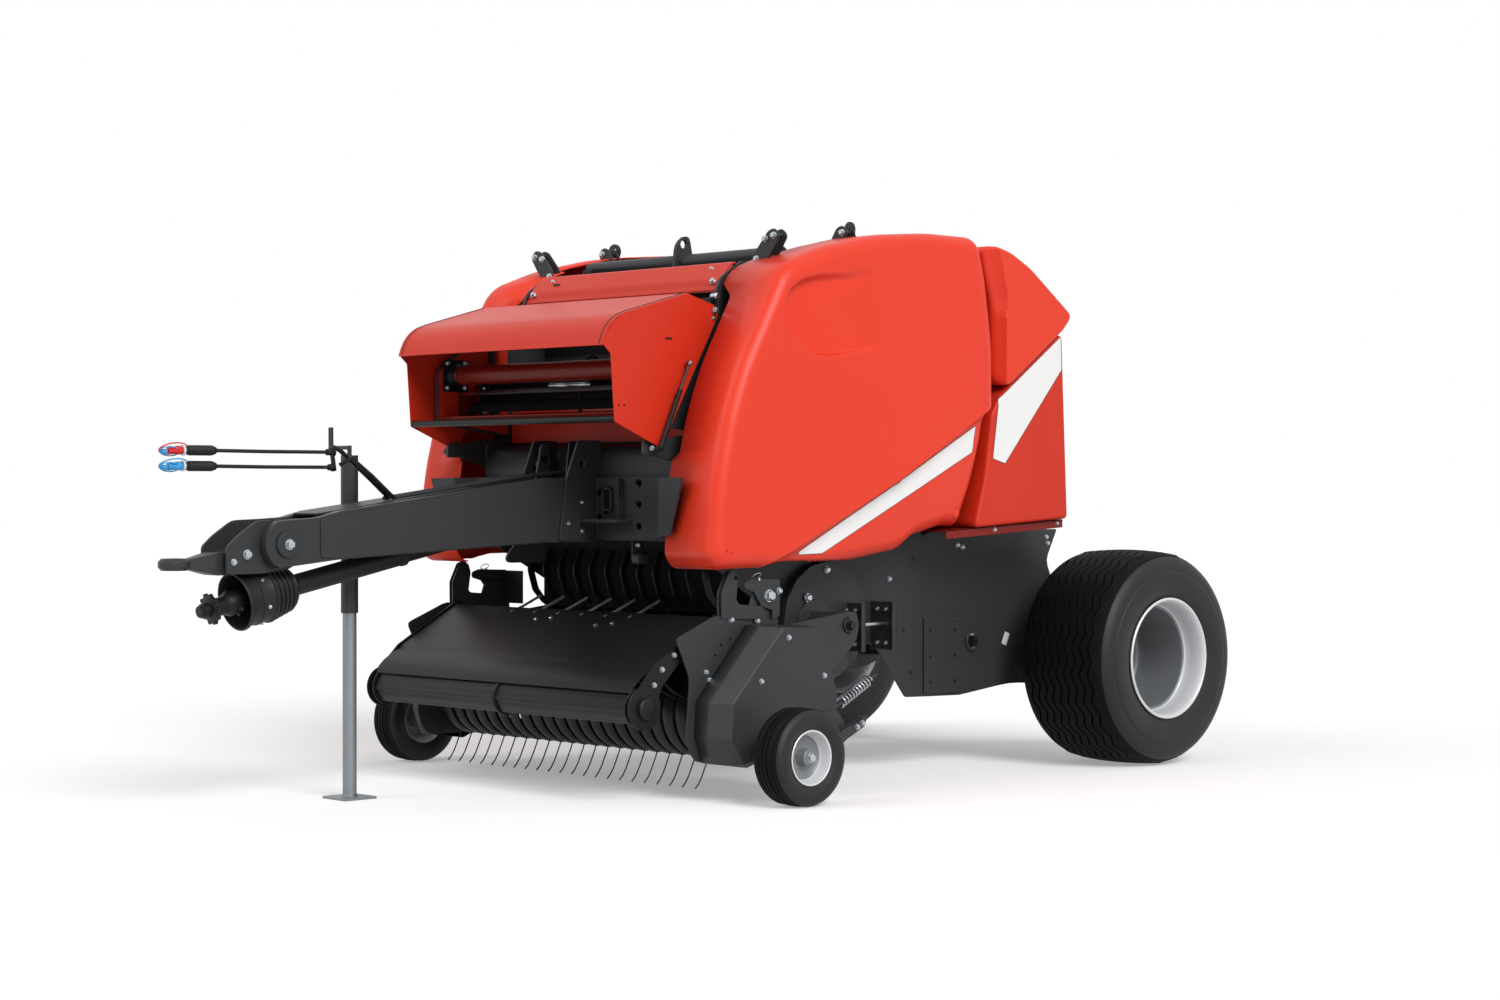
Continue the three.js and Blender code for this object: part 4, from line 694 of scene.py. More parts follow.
# %% [markdown]
# Small hardware is made from a few shapes that are gathered into one mesh per body: a plate cut to
# an outline, a rod along a line of points, a turned part, and a hexagon bolt on its washer.

# %% Hardware helpers
def gather(bm, part):
    """Adds one bmesh to another and frees it."""
    mesh = bpy.data.meshes.new("part")
    part.to_mesh(mesh)
    part.free()
    bm.from_mesh(mesh)
    bpy.data.meshes.remove(mesh)


def plate(bm, points, start, end, edge=0.0015, axis="x"):
    """A plate with rounded corners. Its outline is (y, z, radius), or (x, z, radius) for axis y."""
    part = bmesh.new()
    rounded_outline(part, points, 0)
    out = bmesh.ops.extrude_face_region(part, geom=part.faces[:])
    moved = [v for v in out["geom"] if isinstance(v, bmesh.types.BMVert)]
    bmesh.ops.translate(part, verts=moved, vec=(end - start, 0, 0))
    bmesh.ops.translate(part, verts=part.verts, vec=(start, 0, 0))
    if axis == "y":
        # The outline was drawn along Y: turn it to run along X, facing Y.
        bmesh.ops.translate(part, verts=part.verts, vec=(0, -AXLE_Y, 0))
        bmesh.ops.transform(part, verts=part.verts,
                            matrix=Matrix(((0, 1, 0, 0), (1, 0, 0, AXLE_Y), (0, 0, 1, 0), (0, 0, 0, 1))))
    outwards(part)
    if edge:
        bevelled(part, steep(part, 60), edge, 2)
    gather(bm, part)


def rod(bm, points, radius, round_steps=2):
    """A round bar along points of (x, y, z) measured at the rear axle."""
    curve = bpy.data.curves.new("rod", "CURVE")
    curve.dimensions = "3D"
    curve.bevel_depth, curve.bevel_resolution, curve.use_fill_caps = radius, round_steps, True
    line = curve.splines.new("POLY")
    line.points.add(len(points) - 1)
    for target, point in zip(line.points, points):
        target.co = (*place(*point), 1)
    line.use_smooth = True
    holder = bpy.data.objects.new("rod", curve)
    mesh = bpy.data.meshes.new_from_object(holder)
    part = bmesh.new()
    part.from_mesh(mesh)
    bmesh.ops.remove_doubles(part, verts=part.verts, dist=1e-6)
    outwards(part)
    gather(bm, part)
    bpy.data.objects.remove(holder)
    bpy.data.curves.remove(curve)
    bpy.data.meshes.remove(mesh)


def turned(bm, profile, start, axis, steps):
    """A turned part: (along, radius) pairs from start, which is measured at the rear axle."""
    gather(bm, spun(profile, place(*start), axis, steps, closed=False))


def bolt(bm, at, axis, size):
    """A hexagon head of that width on a washer, its seat at a point, pointing along axis."""
    turn = Vector(axis).to_track_quat("Z", "Y").to_matrix().to_4x4()
    base = Matrix.Translation(place(*at)) @ turn
    # Washer, head, and the head's chamfer: sides, both radii, height and middle, in head widths.
    for sides, low_r, high_r, tall, middle in ((14, 0.74, 0.70, 0.16, 0.08), (6, 0.58, 0.58, 0.46, 0.38),
                                               (6, 0.58, 0.45, 0.10, 0.66)):
        bmesh.ops.create_cone(bm, cap_ends=True, segments=sides, radius1=size * low_r,
                              radius2=size * high_r,
                              depth=size * tall, matrix=base @ Matrix.Translation((0, 0, size * middle)))


def bolts(bm, side, x, places, size):
    """Bolts that face outwards on one side, at (y, z) places."""
    for y, z in places:
        bolt(bm, (side * x, y, z), (side, 0, 0), size)


def disc(bm, at, axis, radius, thick, steps):
    """A plain disc: a short pin, or the black face of a drilled hole, painted shade."""
    turned(bm, [(0, 0), (0, radius), (thick, radius), (thick, 0)], at, axis, steps)


def boss(bm, at, axis, radius, thick, run, drop, steps):
    """A thick disc whose rims are chamfered by run along the axis and drop across it."""
    turned(bm, [(0, 0), (0, radius - drop), (run, radius), (thick - run, radius), (thick, radius - drop),
                (thick, 0)],
           at, axis, steps)


def rect(y0, y1, z0, z1, *radius):
    """The outline of a rectangle, with that corner radius if one is given."""
    return [(y0, z0, *radius), (y0, z1, *radius), (y1, z1, *radius), (y1, z0, *radius)]


def span(side, near, far):
    """From one distance to another on one side of the machine, lowest first."""
    return sorted((side * near, side * far))


def hardware(name, bm, body):
    """A finished piece of plated bolts and pins."""
    piece(name, bm, body, zinc, sharp=30, even=False)


print("hardware helpers ready")

# %% [markdown]
# The pickup's steel fingers sweep between curved bands that strip the crop off them. A band is a
# pressed strip, slightly crowned: its cross-section is spun half round the reel, its two ends are
# extruded back to the rear sheet, and one band becomes twenty-one.

# %% Stripper bands
REEL = (-2.238, 0.330)  # the reel's axis, as (y, z)
BANDS, PITCH = 21, 0.0744
bm = bmesh.new()
section = [(-0.0295, 0.166), (-0.028, 0.173), (-0.018, 0.1765), (0, 0.178), (0.018, 0.1765),
           (0.028, 0.173), (0.0295, 0.166)]
start, sweep = radians(84), radians(176)
verts = [bm.verts.new(place(x, REEL[0] + r * cos(start), REEL[1] + r * sin(start))) for x, r in section]
edges = [bm.edges.new(pair) for pair in zip(verts, verts[1:])]
last = bmesh.ops.spin(bm, geom=[*verts, *edges], cent=place(0, *REEL), axis=(1, 0, 0), dvec=(0, 0, 0),
                      angle=sweep, steps=22, use_merge=False, use_duplicate=False)["geom_last"]
last = [g for g in last if isinstance(g, bmesh.types.BMEdge)]
for ends, shift in ((edges, (0, 0.300, 0.012)), (last, (0, 0.316, 0.030))):
    pulled(bm, ends, shift)
band = bm.verts[:] + bm.edges[:] + bm.faces[:]
bmesh.ops.translate(bm, verts=bm.verts, vec=(-PITCH * (BANDS - 1) / 2, 0, 0))
for i in range(1, BANDS):
    copy = bmesh.ops.duplicate(bm, geom=band)["geom"]
    bmesh.ops.translate(bm, verts=[g for g in copy if isinstance(g, bmesh.types.BMVert)],
                        vec=(PITCH * i, 0, 0))
outwards(bm)
bands = piece("stripper_bands_pressed", bm, BODY_OF["stripper_bands"], black_paint, "stripper_bands",
              sharp=50, even=False)
walled(bands, PRESSED)
bm = bmesh.new()
plate(bm, rect(REEL[0] + 0.322, REEL[0] + 0.330, 0.140, 0.526), -0.842, 0.842)
piece("stripper_rear_sheet", bm, BODY_OF["stripper_bands"], black_paint)
print("bands", BANDS)

# %% [markdown]
# The tine reel turns inside the bands. Four bars carry spring steel tines, each one a thin wire with
# a slight bend near its tip. There are dozens, so a wire has few sides.

# %% Tine reel
BARS, BAR_REACH = 4, 0.118
TINES = BANDS + 1  # one on each side of every band
# A tine's wire, as (reach, angle behind its bar).
WIRE = [(BAR_REACH, 0.030), (0.200, 0.0), (0.262, -0.022), (0.292, -0.044), (0.314, -0.074)]
bm = bmesh.new()
rod(bm, [(-0.846, *REEL), (0.846, *REEL)], 0.032, 5)
rod(bm, [(-0.866, *REEL), (0.866, *REEL)], 0.026, 4)
for x in (-0.832, 0.832):
    turned(bm, [(-0.005, 0.0), (-0.005, 0.140), (-0.003, 0.142), (0.003, 0.142), (0.005, 0.140),
                (0.005, 0.0)], (x, *REEL), (1, 0, 0), 36)
for bar in range(BARS):
    turn = radians(-110 + 90 * bar)
    y, z = REEL[0] + BAR_REACH * cos(turn), REEL[1] + BAR_REACH * sin(turn)
    rod(bm, [(-0.836, y, z), (0.836, y, z)], 0.015, 3)
    for column in range(TINES):
        x = (column - (TINES - 1) / 2) * PITCH
        rod(bm, [(x, REEL[0] + r * cos(turn + a), REEL[1] + r * sin(turn + a)) for r, a in WIRE], 0.0034, 0)
        turned(bm, rect(-0.013, 0.013, 0.015, 0.021), (x, y, z), (1, 0, 0), 8)
piece("tine_reel_sprung", bm, "reel", black_paint, "tine_reel", even=False)
print("tines", BARS * TINES)

# %% [markdown]
# The crop guard is a folded sheet on two arms, with a ridged roller along its front. The sheet has a
# step before its front lip; short rods reach back from it over the intake.

# %% Crop guard
bm = bmesh.new()
path = [(-2.286, 0.694), (-2.300, 0.700), (-2.585, 0.541), (-2.600, 0.526), (-2.636, 0.508),
        (-2.678, 0.480), (-2.704, 0.456), (-2.714, 0.430)]
verts = [bm.verts.new(place(-0.812, y, z)) for y, z in path]
edges = [bm.edges.new(pair) for pair in zip(verts, verts[1:])]
pulled(bm, edges, (1.624, 0, 0))
outwards(bm)
bmesh.ops.solidify(bm, geom=bm.faces[:], thickness=-0.004)
outwards(bm)
for side in (1, -1):
    arm = [(-2.262, 0.722, 0.02), (-2.262, 0.676, 0.02), (-2.480, 0.545, 0.02), (-2.575, 0.450, 0.03),
           (-2.622, 0.345, 0.02), (-2.660, 0.322, 0.03), (-2.712, 0.355, 0.03), (-2.708, 0.430, 0.03),
           (-2.660, 0.486, 0.02), (-2.600, 0.545, 0.02), (-2.300, 0.716, 0.02)]
    plate(bm, arm, *span(side, 0.815, 0.825))
    rod(bm, [(side * 0.820, -2.286, 0.700), (side * 0.8455, -2.286, 0.700)], 0.009)
rods = bmesh.new()
for x in (-0.40, -0.25, -0.10, 0.05, 0.20, 0.35):
    rod(rods, [(x, -2.330, 0.686), (x, -2.270, 0.706), (x - 0.004, -2.165, 0.750)], 0.006)
piece("crop_guard_rods", rods, "crop_guard", galvanised, even=False)
for x, y in ((-0.07, -2.375), (-0.18, -2.380), (0.33, -2.375), (0.22, -2.380)):
    turned(bm, [(0, 0.0), (0, 0.004), (0.001, 0.004)], (x, y, 0.665), (0, -0.49, 0.87), 8)
piece("crop_guard_folded", bm, "crop_guard", black_paint, "wind_guard")

# The roller: a tube with pressed ridges, a middle ring and a bolted flange at each end.
ROLLER = (-2.671, 0.372)
bm = bmesh.new()
section = []
for i in range(72):
    ridge = i % 12
    r = 0.0655 if ridge in (0, 1) else (0.0625 if ridge in (2, 11) else 0.0605)
    section.append((ROLLER[0] + r * cos(2 * pi * i / 72), ROLLER[1] + r * sin(2 * pi * i / 72)))
plate(bm, section, -0.795, 0.795, edge=0)
turned(bm, [(-0.006, 0.05), (-0.006, 0.070), (-0.003, 0.073), (0.003, 0.073), (0.006, 0.070),
            (0.006, 0.05)], (0, *ROLLER), (1, 0, 0), 40)
for side in (1, -1):
    boss(bm, (side * 0.797, *ROLLER), (side, 0, 0), 0.075, 0.009, 0.002, 0.003, 40)
    turned(bm, [(0, 0.0), (0, 0.040), (0.024, 0.040), (0.028, 0.036), (0.030, 0.028), (0.030, 0.0)],
           (side * 0.8265, *ROLLER), (side, 0, 0), 28)
piece("crop_roller_ridged", bm, "crop_roller", black_paint, "guard_roller")
bm = bmesh.new()
for side in (1, -1):
    boss(bm, (side * 0.826, *ROLLER), (side, 0, 0), 0.083, 0.007, 0.002, 0.003, 36)
piece("crop_roller_flange", bm, "crop_guard", black_paint)
print("guard and roller done")

# %% [markdown]
# A folded steel cover closes each end of the pickup over its chain drive. Its outer face is smaller
# than its base, so three outlines are bridged into straight and sloping walls.

# %% Drive covers
BASE = [(-2.170, 0.672), (-1.905, 0.664), (-1.825, 0.495), (-1.795, 0.400), (-1.797, 0.295),
        (-2.230, 0.125), (-2.401, 0.150), (-2.441, 0.255), (-2.431, 0.388)]
TOP = [(-2.099, 0.665), (-1.921, 0.657), (-1.840, 0.491), (-1.810, 0.400), (-1.812, 0.307),
       (-2.215, 0.163), (-2.307, 0.148), (-2.377, 0.248), (-2.367, 0.385)]
RINGS = ((0.8545, BASE), (0.930, BASE), (0.9995, TOP))
for side, end in SIDES:
    bm = bmesh.new()
    loops = []
    for x, ring in RINGS:
        verts = [bm.verts.new(place(side * x, y, z)) for y, z in ring]
        loops.append([bm.edges.new(pair) for pair in zip(verts, verts[1:] + verts[:1])])
    for one, two in zip(loops, loops[1:]):
        bmesh.ops.bridge_loops(bm, edges=one + two)
    bm.faces.new([v for e in loops[-1] for v in e.verts][::2])
    outwards(bm)
    cap = max(bm.faces, key=lambda f: abs(f.calc_center_median().x))
    if cap.normal.x * side < 0:
        bmesh.ops.reverse_faces(bm, faces=bm.faces)
    bevelled(bm, steep(bm, 8), 0.005, 3)
    made = piece(f"drive_cover_{end}_folded", bm, "pickup", charcoal, f"drive_cover_{end}")
    walled(made, PRESSED)
    print(made.name, len(made.data.polygons))

# %% [markdown]
# Brackets on the pickup's ends: a lifting hook and a lock plate with a large nut and ring pin. A
# coil spring presses each wheel arm, which locks in a toothed latch.

# %% Pickup brackets
bm = bmesh.new()
shiny = bmesh.new()
holes = bmesh.new()
for side in (1, -1):
    x = side * 0.838
    hook = [(-2.300, 0.700, 0.01), (-2.301, 0.800, 0.02), (-2.262, 0.878, 0.018), (-2.234, 0.888, 0.015),
            (-2.208, 0.866, 0.015), (-2.240, 0.790, 0.02), (-2.205, 0.752, 0.015), (-2.080, 0.742, 0.01),
            (-2.080, 0.690, 0.01)]
    plate(bm, hook, *sorted((x - 0.005, x + 0.004)))
    plate(bm, hook, *span(side, 0.8548, 0.8600))
    # The hook's hole is a black disc of painted shade.
    disc(holes, (side * 0.8600, -2.225, 0.856), (side, 0, 0), 0.009, 0.001, 16)
    lock = [(-2.030, 0.725, 0.01), (-2.088, 0.741, 0.01), (-2.130, 0.800, 0.012), (-2.180, 0.815, 0.012),
            (-2.180, 0.838, 0.010), (-2.145, 0.850, 0.008), (-1.990, 0.845, 0.008),
            (-1.990, 0.700, 0.01), (-2.030, 0.690)]
    plate(bm, lock, *span(side, 0.8548, 0.8610))
    plate(bm, rect(-1.998, -1.990, 0.70, 0.842), *span(side, 0.740, 0.8548))
    bolt(shiny, (side * 0.8610, -2.052, 0.782), (side, 0, 0), 0.036)
    bolt(shiny, (side * 0.8610, -1.996, 0.800), (side, 0, 0), 0.019)
    ring = [(side * 0.857 + 0.012 * sin(i * pi / 6), -2.111 + 0.020 * cos(i * pi / 6),
             0.860 + 0.012 * sin(i * pi / 6)) for i in range(13)]
    rod(shiny, ring, 0.0020, 1)
    rod(shiny, [(side * 0.845, -2.111, 0.848), (side * 0.872, -2.111, 0.848)], 0.006)
    # Bolts of the side plate and the drive cover.
    bolts(shiny, side, 0.8545, ((-2.246, 0.694), (-2.108, 0.685), (-2.378, 0.496), (-2.361, 0.466)), 0.017)
    bolts(shiny, side, 1.0, ((-2.078, 0.625), (-2.225, 0.462), (-1.884, 0.469)), 0.016)
    # Drilled holes in the side plate, left free, each a black disc of painted shade.
    for y, z in ((-2.300, 0.600), (-2.250, 0.620), (-2.180, 0.640), (-2.330, 0.560), (-2.250, 0.545),
                 (-2.252, 0.530)):
        disc(holes, (side * 0.8545, y, z), (side, 0, 0), 0.0055, 0.001, 10)
    # Wheel arm latch and its bolts.
    latch = [(-1.825, 0.205, 0.01), (-1.700, 0.262, 0.012), (-1.684, 0.300, 0.01),
             (-1.706, 0.305, 0.008), (-1.726, 0.285, 0.008), (-1.838, 0.250, 0.01)]
    plate(bm, latch, *span(side, 1.035, 1.045))
    plate(bm, latch, *span(side, 1.012, 1.020))
    bolts(shiny, side, 1.045, ((-1.715, 0.275), (-1.745, 0.262)), 0.017)
    # Its coil spring, eleven turns of wire round a rod.
    coil = []
    turns, facets = 11, 12
    a, b = Vector((side * 0.905, -1.700, 0.345)), Vector((side * 0.905, -1.535, 0.430))
    along = (b - a).normalized()
    up = Vector((1, 0, 0))
    out = along.cross(up)
    for i in range(turns * facets + 1):
        t = i / (turns * facets)
        angle = 2 * pi * i / facets
        coil.append(tuple(a + (b - a) * t + 0.020 * (up * cos(angle) + out * sin(angle))))
    rod(shiny, coil, 0.0036, 1)
    rod(bm, [tuple(a - along * 0.06), tuple(b + along * 0.05)], 0.008, 2)
piece("pickup_brackets", bm, "pickup", charcoal)
# The holes' black discs are painted shade.
piece("pickup_holes", holes, "pickup", painted_shade_black, even=False)
hardware("pickup_bolts", shiny, "pickup")
bm = bmesh.new()
for side in (1, -1):
    bolts(bm, side, 0.825, ((-2.516, 0.568), (-2.578, 0.515), (-2.618, 0.458)), 0.016)
for x, y in ((-0.18, -2.372), (-0.10, -2.358), (0.22, -2.390), (0.30, -2.372)):
    z = 0.700 - (-2.300 - y) * 0.558
    bolt(bm, (x, y, z), (0, -0.487, 0.873), 0.016)
hardware("crop_guard_bolts", bm, "crop_guard")
print("pickup brackets done")

# %% [markdown]
# The hood over the net box is one folded sheet between two cheeks. Each fold has a real bend radius,
# so a flat strip of faces is extruded from a bent line and the fold edges are bevelled.

# %% Hood
def folded(bm, path, x0, x1, bend, thickness, segments):
    """A sheet across the machine from a bent (y, z) line, with its folds rounded to a radius."""
    part = bmesh.new()
    verts = [part.verts.new(place(x0, y, z)) for y, z in path]
    edges = [part.edges.new(pair) for pair in zip(verts, verts[1:])]
    pulled(part, edges, (x1 - x0, 0, 0))
    outwards(part)
    folds = [e for e in part.edges if len(e.link_faces) == 2]
    bevelled(part, folds, bend, segments)
    bmesh.ops.solidify(part, geom=part.faces[:], thickness=thickness)
    outwards(part)
    gather(bm, part)


bm = bmesh.new()
folded(bm, [(-2.285, 1.965), (-2.600, 1.879), (-2.640, 1.864), (-2.672, 1.841), (-2.695, 1.815),
            (-2.711, 1.785), (-2.724, 1.748)], -0.649, 0.649, 0.012, 0.004, 3)
CHEEK = [(-2.283, 1.962, 0.02), (-2.618, 1.870, 0.05), (-2.668, 1.838, 0.04), (-2.700, 1.796, 0.03),
         (-2.719, 1.750, 0.004), (-2.681, 1.716, 0.01), (-2.662, 1.457, 0.01), (-2.424, 1.357, 0.012),
         (-2.120, 1.890, 0.02), (-2.146, 1.925, 0.02)]
for side in (1, -1):
    plate(bm, CHEEK, *span(side, 0.6455, 0.650))
    rod(bm, [(side * 0.613, -2.146, 1.902), (side * 0.656, -2.146, 1.902)], 0.009)
    rod(bm, [(side * 0.648, -2.302, 1.689), (side * 0.6695, -2.302, 1.689)], 0.006)
piece("hood_folded", bm, "net_hood", red_paint, "hood")
bm = bmesh.new()
rod(bm, [(-0.646, -2.648, 1.468), (0.646, -2.648, 1.468)], 0.014, 3)
for side in (1, -1):
    # The dark seam between the top sheet and the cheek's folded edge.
    seam = ((-2.29, 1.966), (-2.600, 1.8815), (-2.641, 1.866), (-2.674, 1.843), (-2.6975, 1.8165),
            (-2.7135, 1.786), (-2.724, 1.755))
    rod(bm, [(side * 0.628, y, z) for y, z in seam], 0.0014, 1)
    for y, z in ((-2.640, 1.520), (-2.615, 1.520)):
        disc(bm, (side * 0.650, y, z), (side, 0, 0), 0.0045, 0.0008, 10)
    plate(bm, rect(-2.405, -2.370, 1.780, 1.788, 0.003), *span(side, 0.649, 0.6512), edge=0)
piece("hood_bar", bm, "net_hood", black_paint)
bm = bmesh.new()
for side in (1, -1):
    bolt(bm, (side * 0.656, -2.146, 1.902), (side, 0, 0), 0.020)
    bolt(bm, (side * 0.682, -2.302, 1.689), (side, 0, 0), 0.014)
    bolt(bm, (side * 0.650, -2.150, 1.872), (side, 0, 0), 0.012)
hardware("hood_bolts", bm, "net_hood")
print("hood done")

# %% [markdown]
# Under the hood sits the net box: a dark red roller in black bearings, a flat bar, link plates, a
# coil spring and a short twisted rope. The wall behind it is black inside and red below the bar,
# and the side plates have a red lining.

# %% Net box
NET_ROLLER = (-2.470, 1.671)  # its axis, as (y, z)
bm = bmesh.new()
rod(bm, [(-0.545, *NET_ROLLER), (0.545, *NET_ROLLER)], 0.040, 6)
rod(bm, [(-0.5995, *NET_ROLLER), (0.5995, *NET_ROLLER)], 0.012, 3)
piece("net_roller_turned", bm, "net_feed", deep_red_and_shade, "net_roller")
bm = bmesh.new()
for side in (1, -1):
    turned(bm, [(0, 0.014), (0, 0.052), (0.010, 0.050), (0.022, 0.030), (0.036, 0.026), (0.040, 0.014)],
           (side * 0.590, *NET_ROLLER), (-side, 0, 0), 28)
    plate(bm, rect(-2.535, -2.405, 1.604, 1.738, 0.012), *span(side, 0.588, 0.598))
    for y, z0, z1 in ((-2.360, 1.500, 1.640), (-2.300, 1.480, 1.700)):
        plate(bm, rect(y - 0.02, y + 0.02, z0, z1, 0.015), *span(side, 0.540, 0.548))
plate(bm, [(-2.470, 1.588), (-2.470, 1.594), (-2.385, 1.612), (-2.385, 1.606)], -0.480, 0.585)
folded(bm, [(-2.440, 1.520), (-2.400, 1.560), (-2.330, 1.560), (-2.300, 1.700)], -0.560, 0.585, 0.006,
       0.003, 3)
rod(bm, [(-0.595, -2.350, 1.640), (0.595, -2.350, 1.640)], 0.012, 3)
rod(bm, [(-0.595, -2.260, 1.800), (0.595, -2.260, 1.800)], 0.020, 4)
rod(bm, [(0.05, -2.330, 1.500), (0.05, -2.330, 1.640)], 0.007, 2)
coil = [(-0.440 + 0.014 * cos(i * pi / 5), -2.400 + 0.014 * sin(i * pi / 5),
         1.715 + 0.0009 * i) for i in range(100)]
rod(bm, coil, 0.0026, 1)
boss(bm, (0.02, -2.235, 1.690), (0, -1, 0), 0.060, 0.014, 0.004, 0.005, 30)
boss(bm, (0.22, -2.235, 1.740), (0, -1, 0), 0.040, 0.014, 0.004, 0.005, 24)
piece("net_box_fittings", bm, "chassis", black_paint)
bm = bmesh.new()
for side in (1, -1):
    turned(bm, rect(0, 0.012, 0.013, 0.034), (side * 0.562, *NET_ROLLER), (-side, 0, 0), 24)
    for y, z in ((-2.516, 1.722), (-2.424, 1.722), (-2.516, 1.620), (-2.424, 1.620)):
        bolt(bm, (side * 0.588, y, z), (-side, 0, 0), 0.016)
    for y, z in ((-2.360, 1.520), (-2.360, 1.620), (-2.300, 1.500)):
        bolt(bm, (side * 0.540, y, z), (-side, 0, 0), 0.016)
for start in (0, pi):
    rod(bm, [(-0.02 + 0.0025 * i, -2.435 + 0.0045 * cos(start + i * pi / 5),
              1.618 + 0.0045 * sin(start + i * pi / 5)) for i in range(101)], 0.0042, 1)
hardware("net_box_bright_parts", bm, "chassis")
bm = bmesh.new()
folded(bm, [(-2.166, 1.392), (-2.166, 1.520), (-2.158, 1.528)], -0.598, 0.598, 0.003, 0.003, 3)
folded(bm, [(-2.086, 1.984), (-2.066, 2.034), (-1.998, 2.107), (-1.980, 2.107)], -0.598, 0.598, 0.010,
       0.004, 4)
for side in (1, -1):
    # Inside the net box the side plates have a red lining.
    plate(bm, [(-2.552, 1.480, 0.02), (-2.552, 1.690, 0.03), (-2.192, 1.935, 0.02), (-2.185, 1.430)],
          *span(side, 0.5985, 0.6002), edge=0)
piece("front_wall_red", bm, "chassis", red_paint)
print("net box done")

# %% [markdown]
# The drawbar: two box beams around a gearbox, bolted to a face plate with slotted holes, so that the
# eye's height can be set. Doubler plates make the beams deeper behind their narrow front ends, and
# a bent wing at each side reaches out in front of the doors.

# %% Drawbar fittings
bm = bmesh.new()
dark = bmesh.new()
shiny = bmesh.new()
for side in (1, -1):
    plate(bm, [(-3.655, 0.946, 0.012), (-3.655, 1.090, 0.012), (-2.566, 1.241, 0.02), (-2.566, 0.989, 0.02),
               (-3.560, 0.942, 0.02)], *span(side, 0.134, 0.1395), edge=0.003)
    boss(bm, (side * 0.134, -3.800, 0.997), (side, 0, 0), 0.049, 0.012, 0.003, 0.003, 36)
    bolt(shiny, (side * 0.146, -3.800, 0.997), (side, 0, 0), 0.029)
    bolt(shiny, (side * 0.0885, -3.945, 0.962), (side, 0, 0), 0.026)
    bolt(shiny, (side * 0.0885, -4.002, 0.935), (side, 0, 0), 0.018)
    # Face plate, window frame and wing.
    wing = bmesh.new()
    for x, y, z0, z1 in ((0.440, -2.330, 1.006, 1.246), (0.590, -2.350, 1.006, 1.246),
                         (0.640, -2.440, 1.012, 1.245)):
        wing.verts.new(place(side * x, y, z0))
        wing.verts.new(place(side * x, y, z1))
    # Its outer edge slants: the plate is wider at the top.
    wing.verts.new(place(side * 0.718, -2.446, 1.022))
    wing.verts.new(place(side * 0.793, -2.448, 1.243))
    wing.verts.ensure_lookup_table()
    for i in (0, 2, 4):
        wing.faces.new([wing.verts[i], wing.verts[i + 2], wing.verts[i + 3], wing.verts[i + 1]])
    outwards(wing)
    bevelled(wing, [e for e in wing.edges if len(e.link_faces) == 2], 0.012, 4)
    bmesh.ops.solidify(wing, geom=wing.faces[:], thickness=0.010)
    outwards(wing)
    gather(bm, wing)
    frame_bars = ((0.186, 0.196, 1.115, 1.205), (0.236, 0.246, 1.115, 1.205),
                  (0.186, 0.246, 1.195, 1.205), (0.186, 0.246, 1.110, 1.120))
    for x0, x1, z0, z1 in frame_bars:
        plate(bm, [(side * x0, z0), (side * x1, z0), (side * x1, z1), (side * x0, z1)], -2.334, -2.320,
              edge=0.001, axis="y")
    # The window inside the frame is a black pane of painted shade.
    plate(dark, [(side * 0.196, 1.120), (side * 0.236, 1.120), (side * 0.236, 1.195),
                 (side * 0.196, 1.195)], -2.3235, -2.3215, edge=0, axis="y")
    for x, z in ((0.405, 1.222), (0.405, 1.138), (0.405, 1.052), (0.160, 1.185), (0.160, 1.085)):
        # Each is a slot: two round ends, one above the other, as black discs of painted shade.
        for rise in (-0.004, 0.004):
            disc(dark, (side * x, -2.3215, z + rise), (0, -1, 0), 0.012, 0.0015, 16)
    # Ribs weld the face plate to the shelf.
    plate(bm, [(side * 0.300, 1.080), (side * 0.310, 1.080), (side * 0.310, 1.240), (side * 0.300, 1.240)],
          -2.352, -2.320, axis="y")
    bolts(shiny, side, 0.1462, ((-2.40, 1.145), (-2.47, 1.060), (-2.40, 1.030)), 0.014)
# Lugs on the cross tube: a drilled upright on the right, a channel bracket in the middle.
plate(bm, [(-2.470, 1.225, 0.01), (-2.440, 1.375, 0.02), (-2.400, 1.392, 0.02), (-2.380, 1.225, 0.01)],
      -0.075, -0.063)
# Its hole is a black disc of painted shade.
disc(dark, (-0.0625, -2.425, 1.320), (1, 0, 0), 0.016, 0.0015, 20)
for x in (0.060, 0.112):
    plate(bm, [(-2.420, 1.240), (-2.400, 1.392, 0.01), (-2.330, 1.392, 0.01), (-2.330, 1.240)], x,
          x + 0.007)
plate(bm, rect(-2.338, -2.330, 1.240, 1.392), 0.060, 0.119)
# A long strip and two pipes lie along the beams' tops.
plate(bm, [(-3.630, 1.104), (-3.630, 1.110), (-2.900, 1.207), (-2.900, 1.201)], -0.080, 0.080, edge=0.001)
for x in (-0.03, 0.03):
    rod(bm, [(x, -3.25, 1.165), (x, -2.70, 1.238), (x, -2.45, 1.262), (x, -2.30, 1.270)], 0.007, 2)
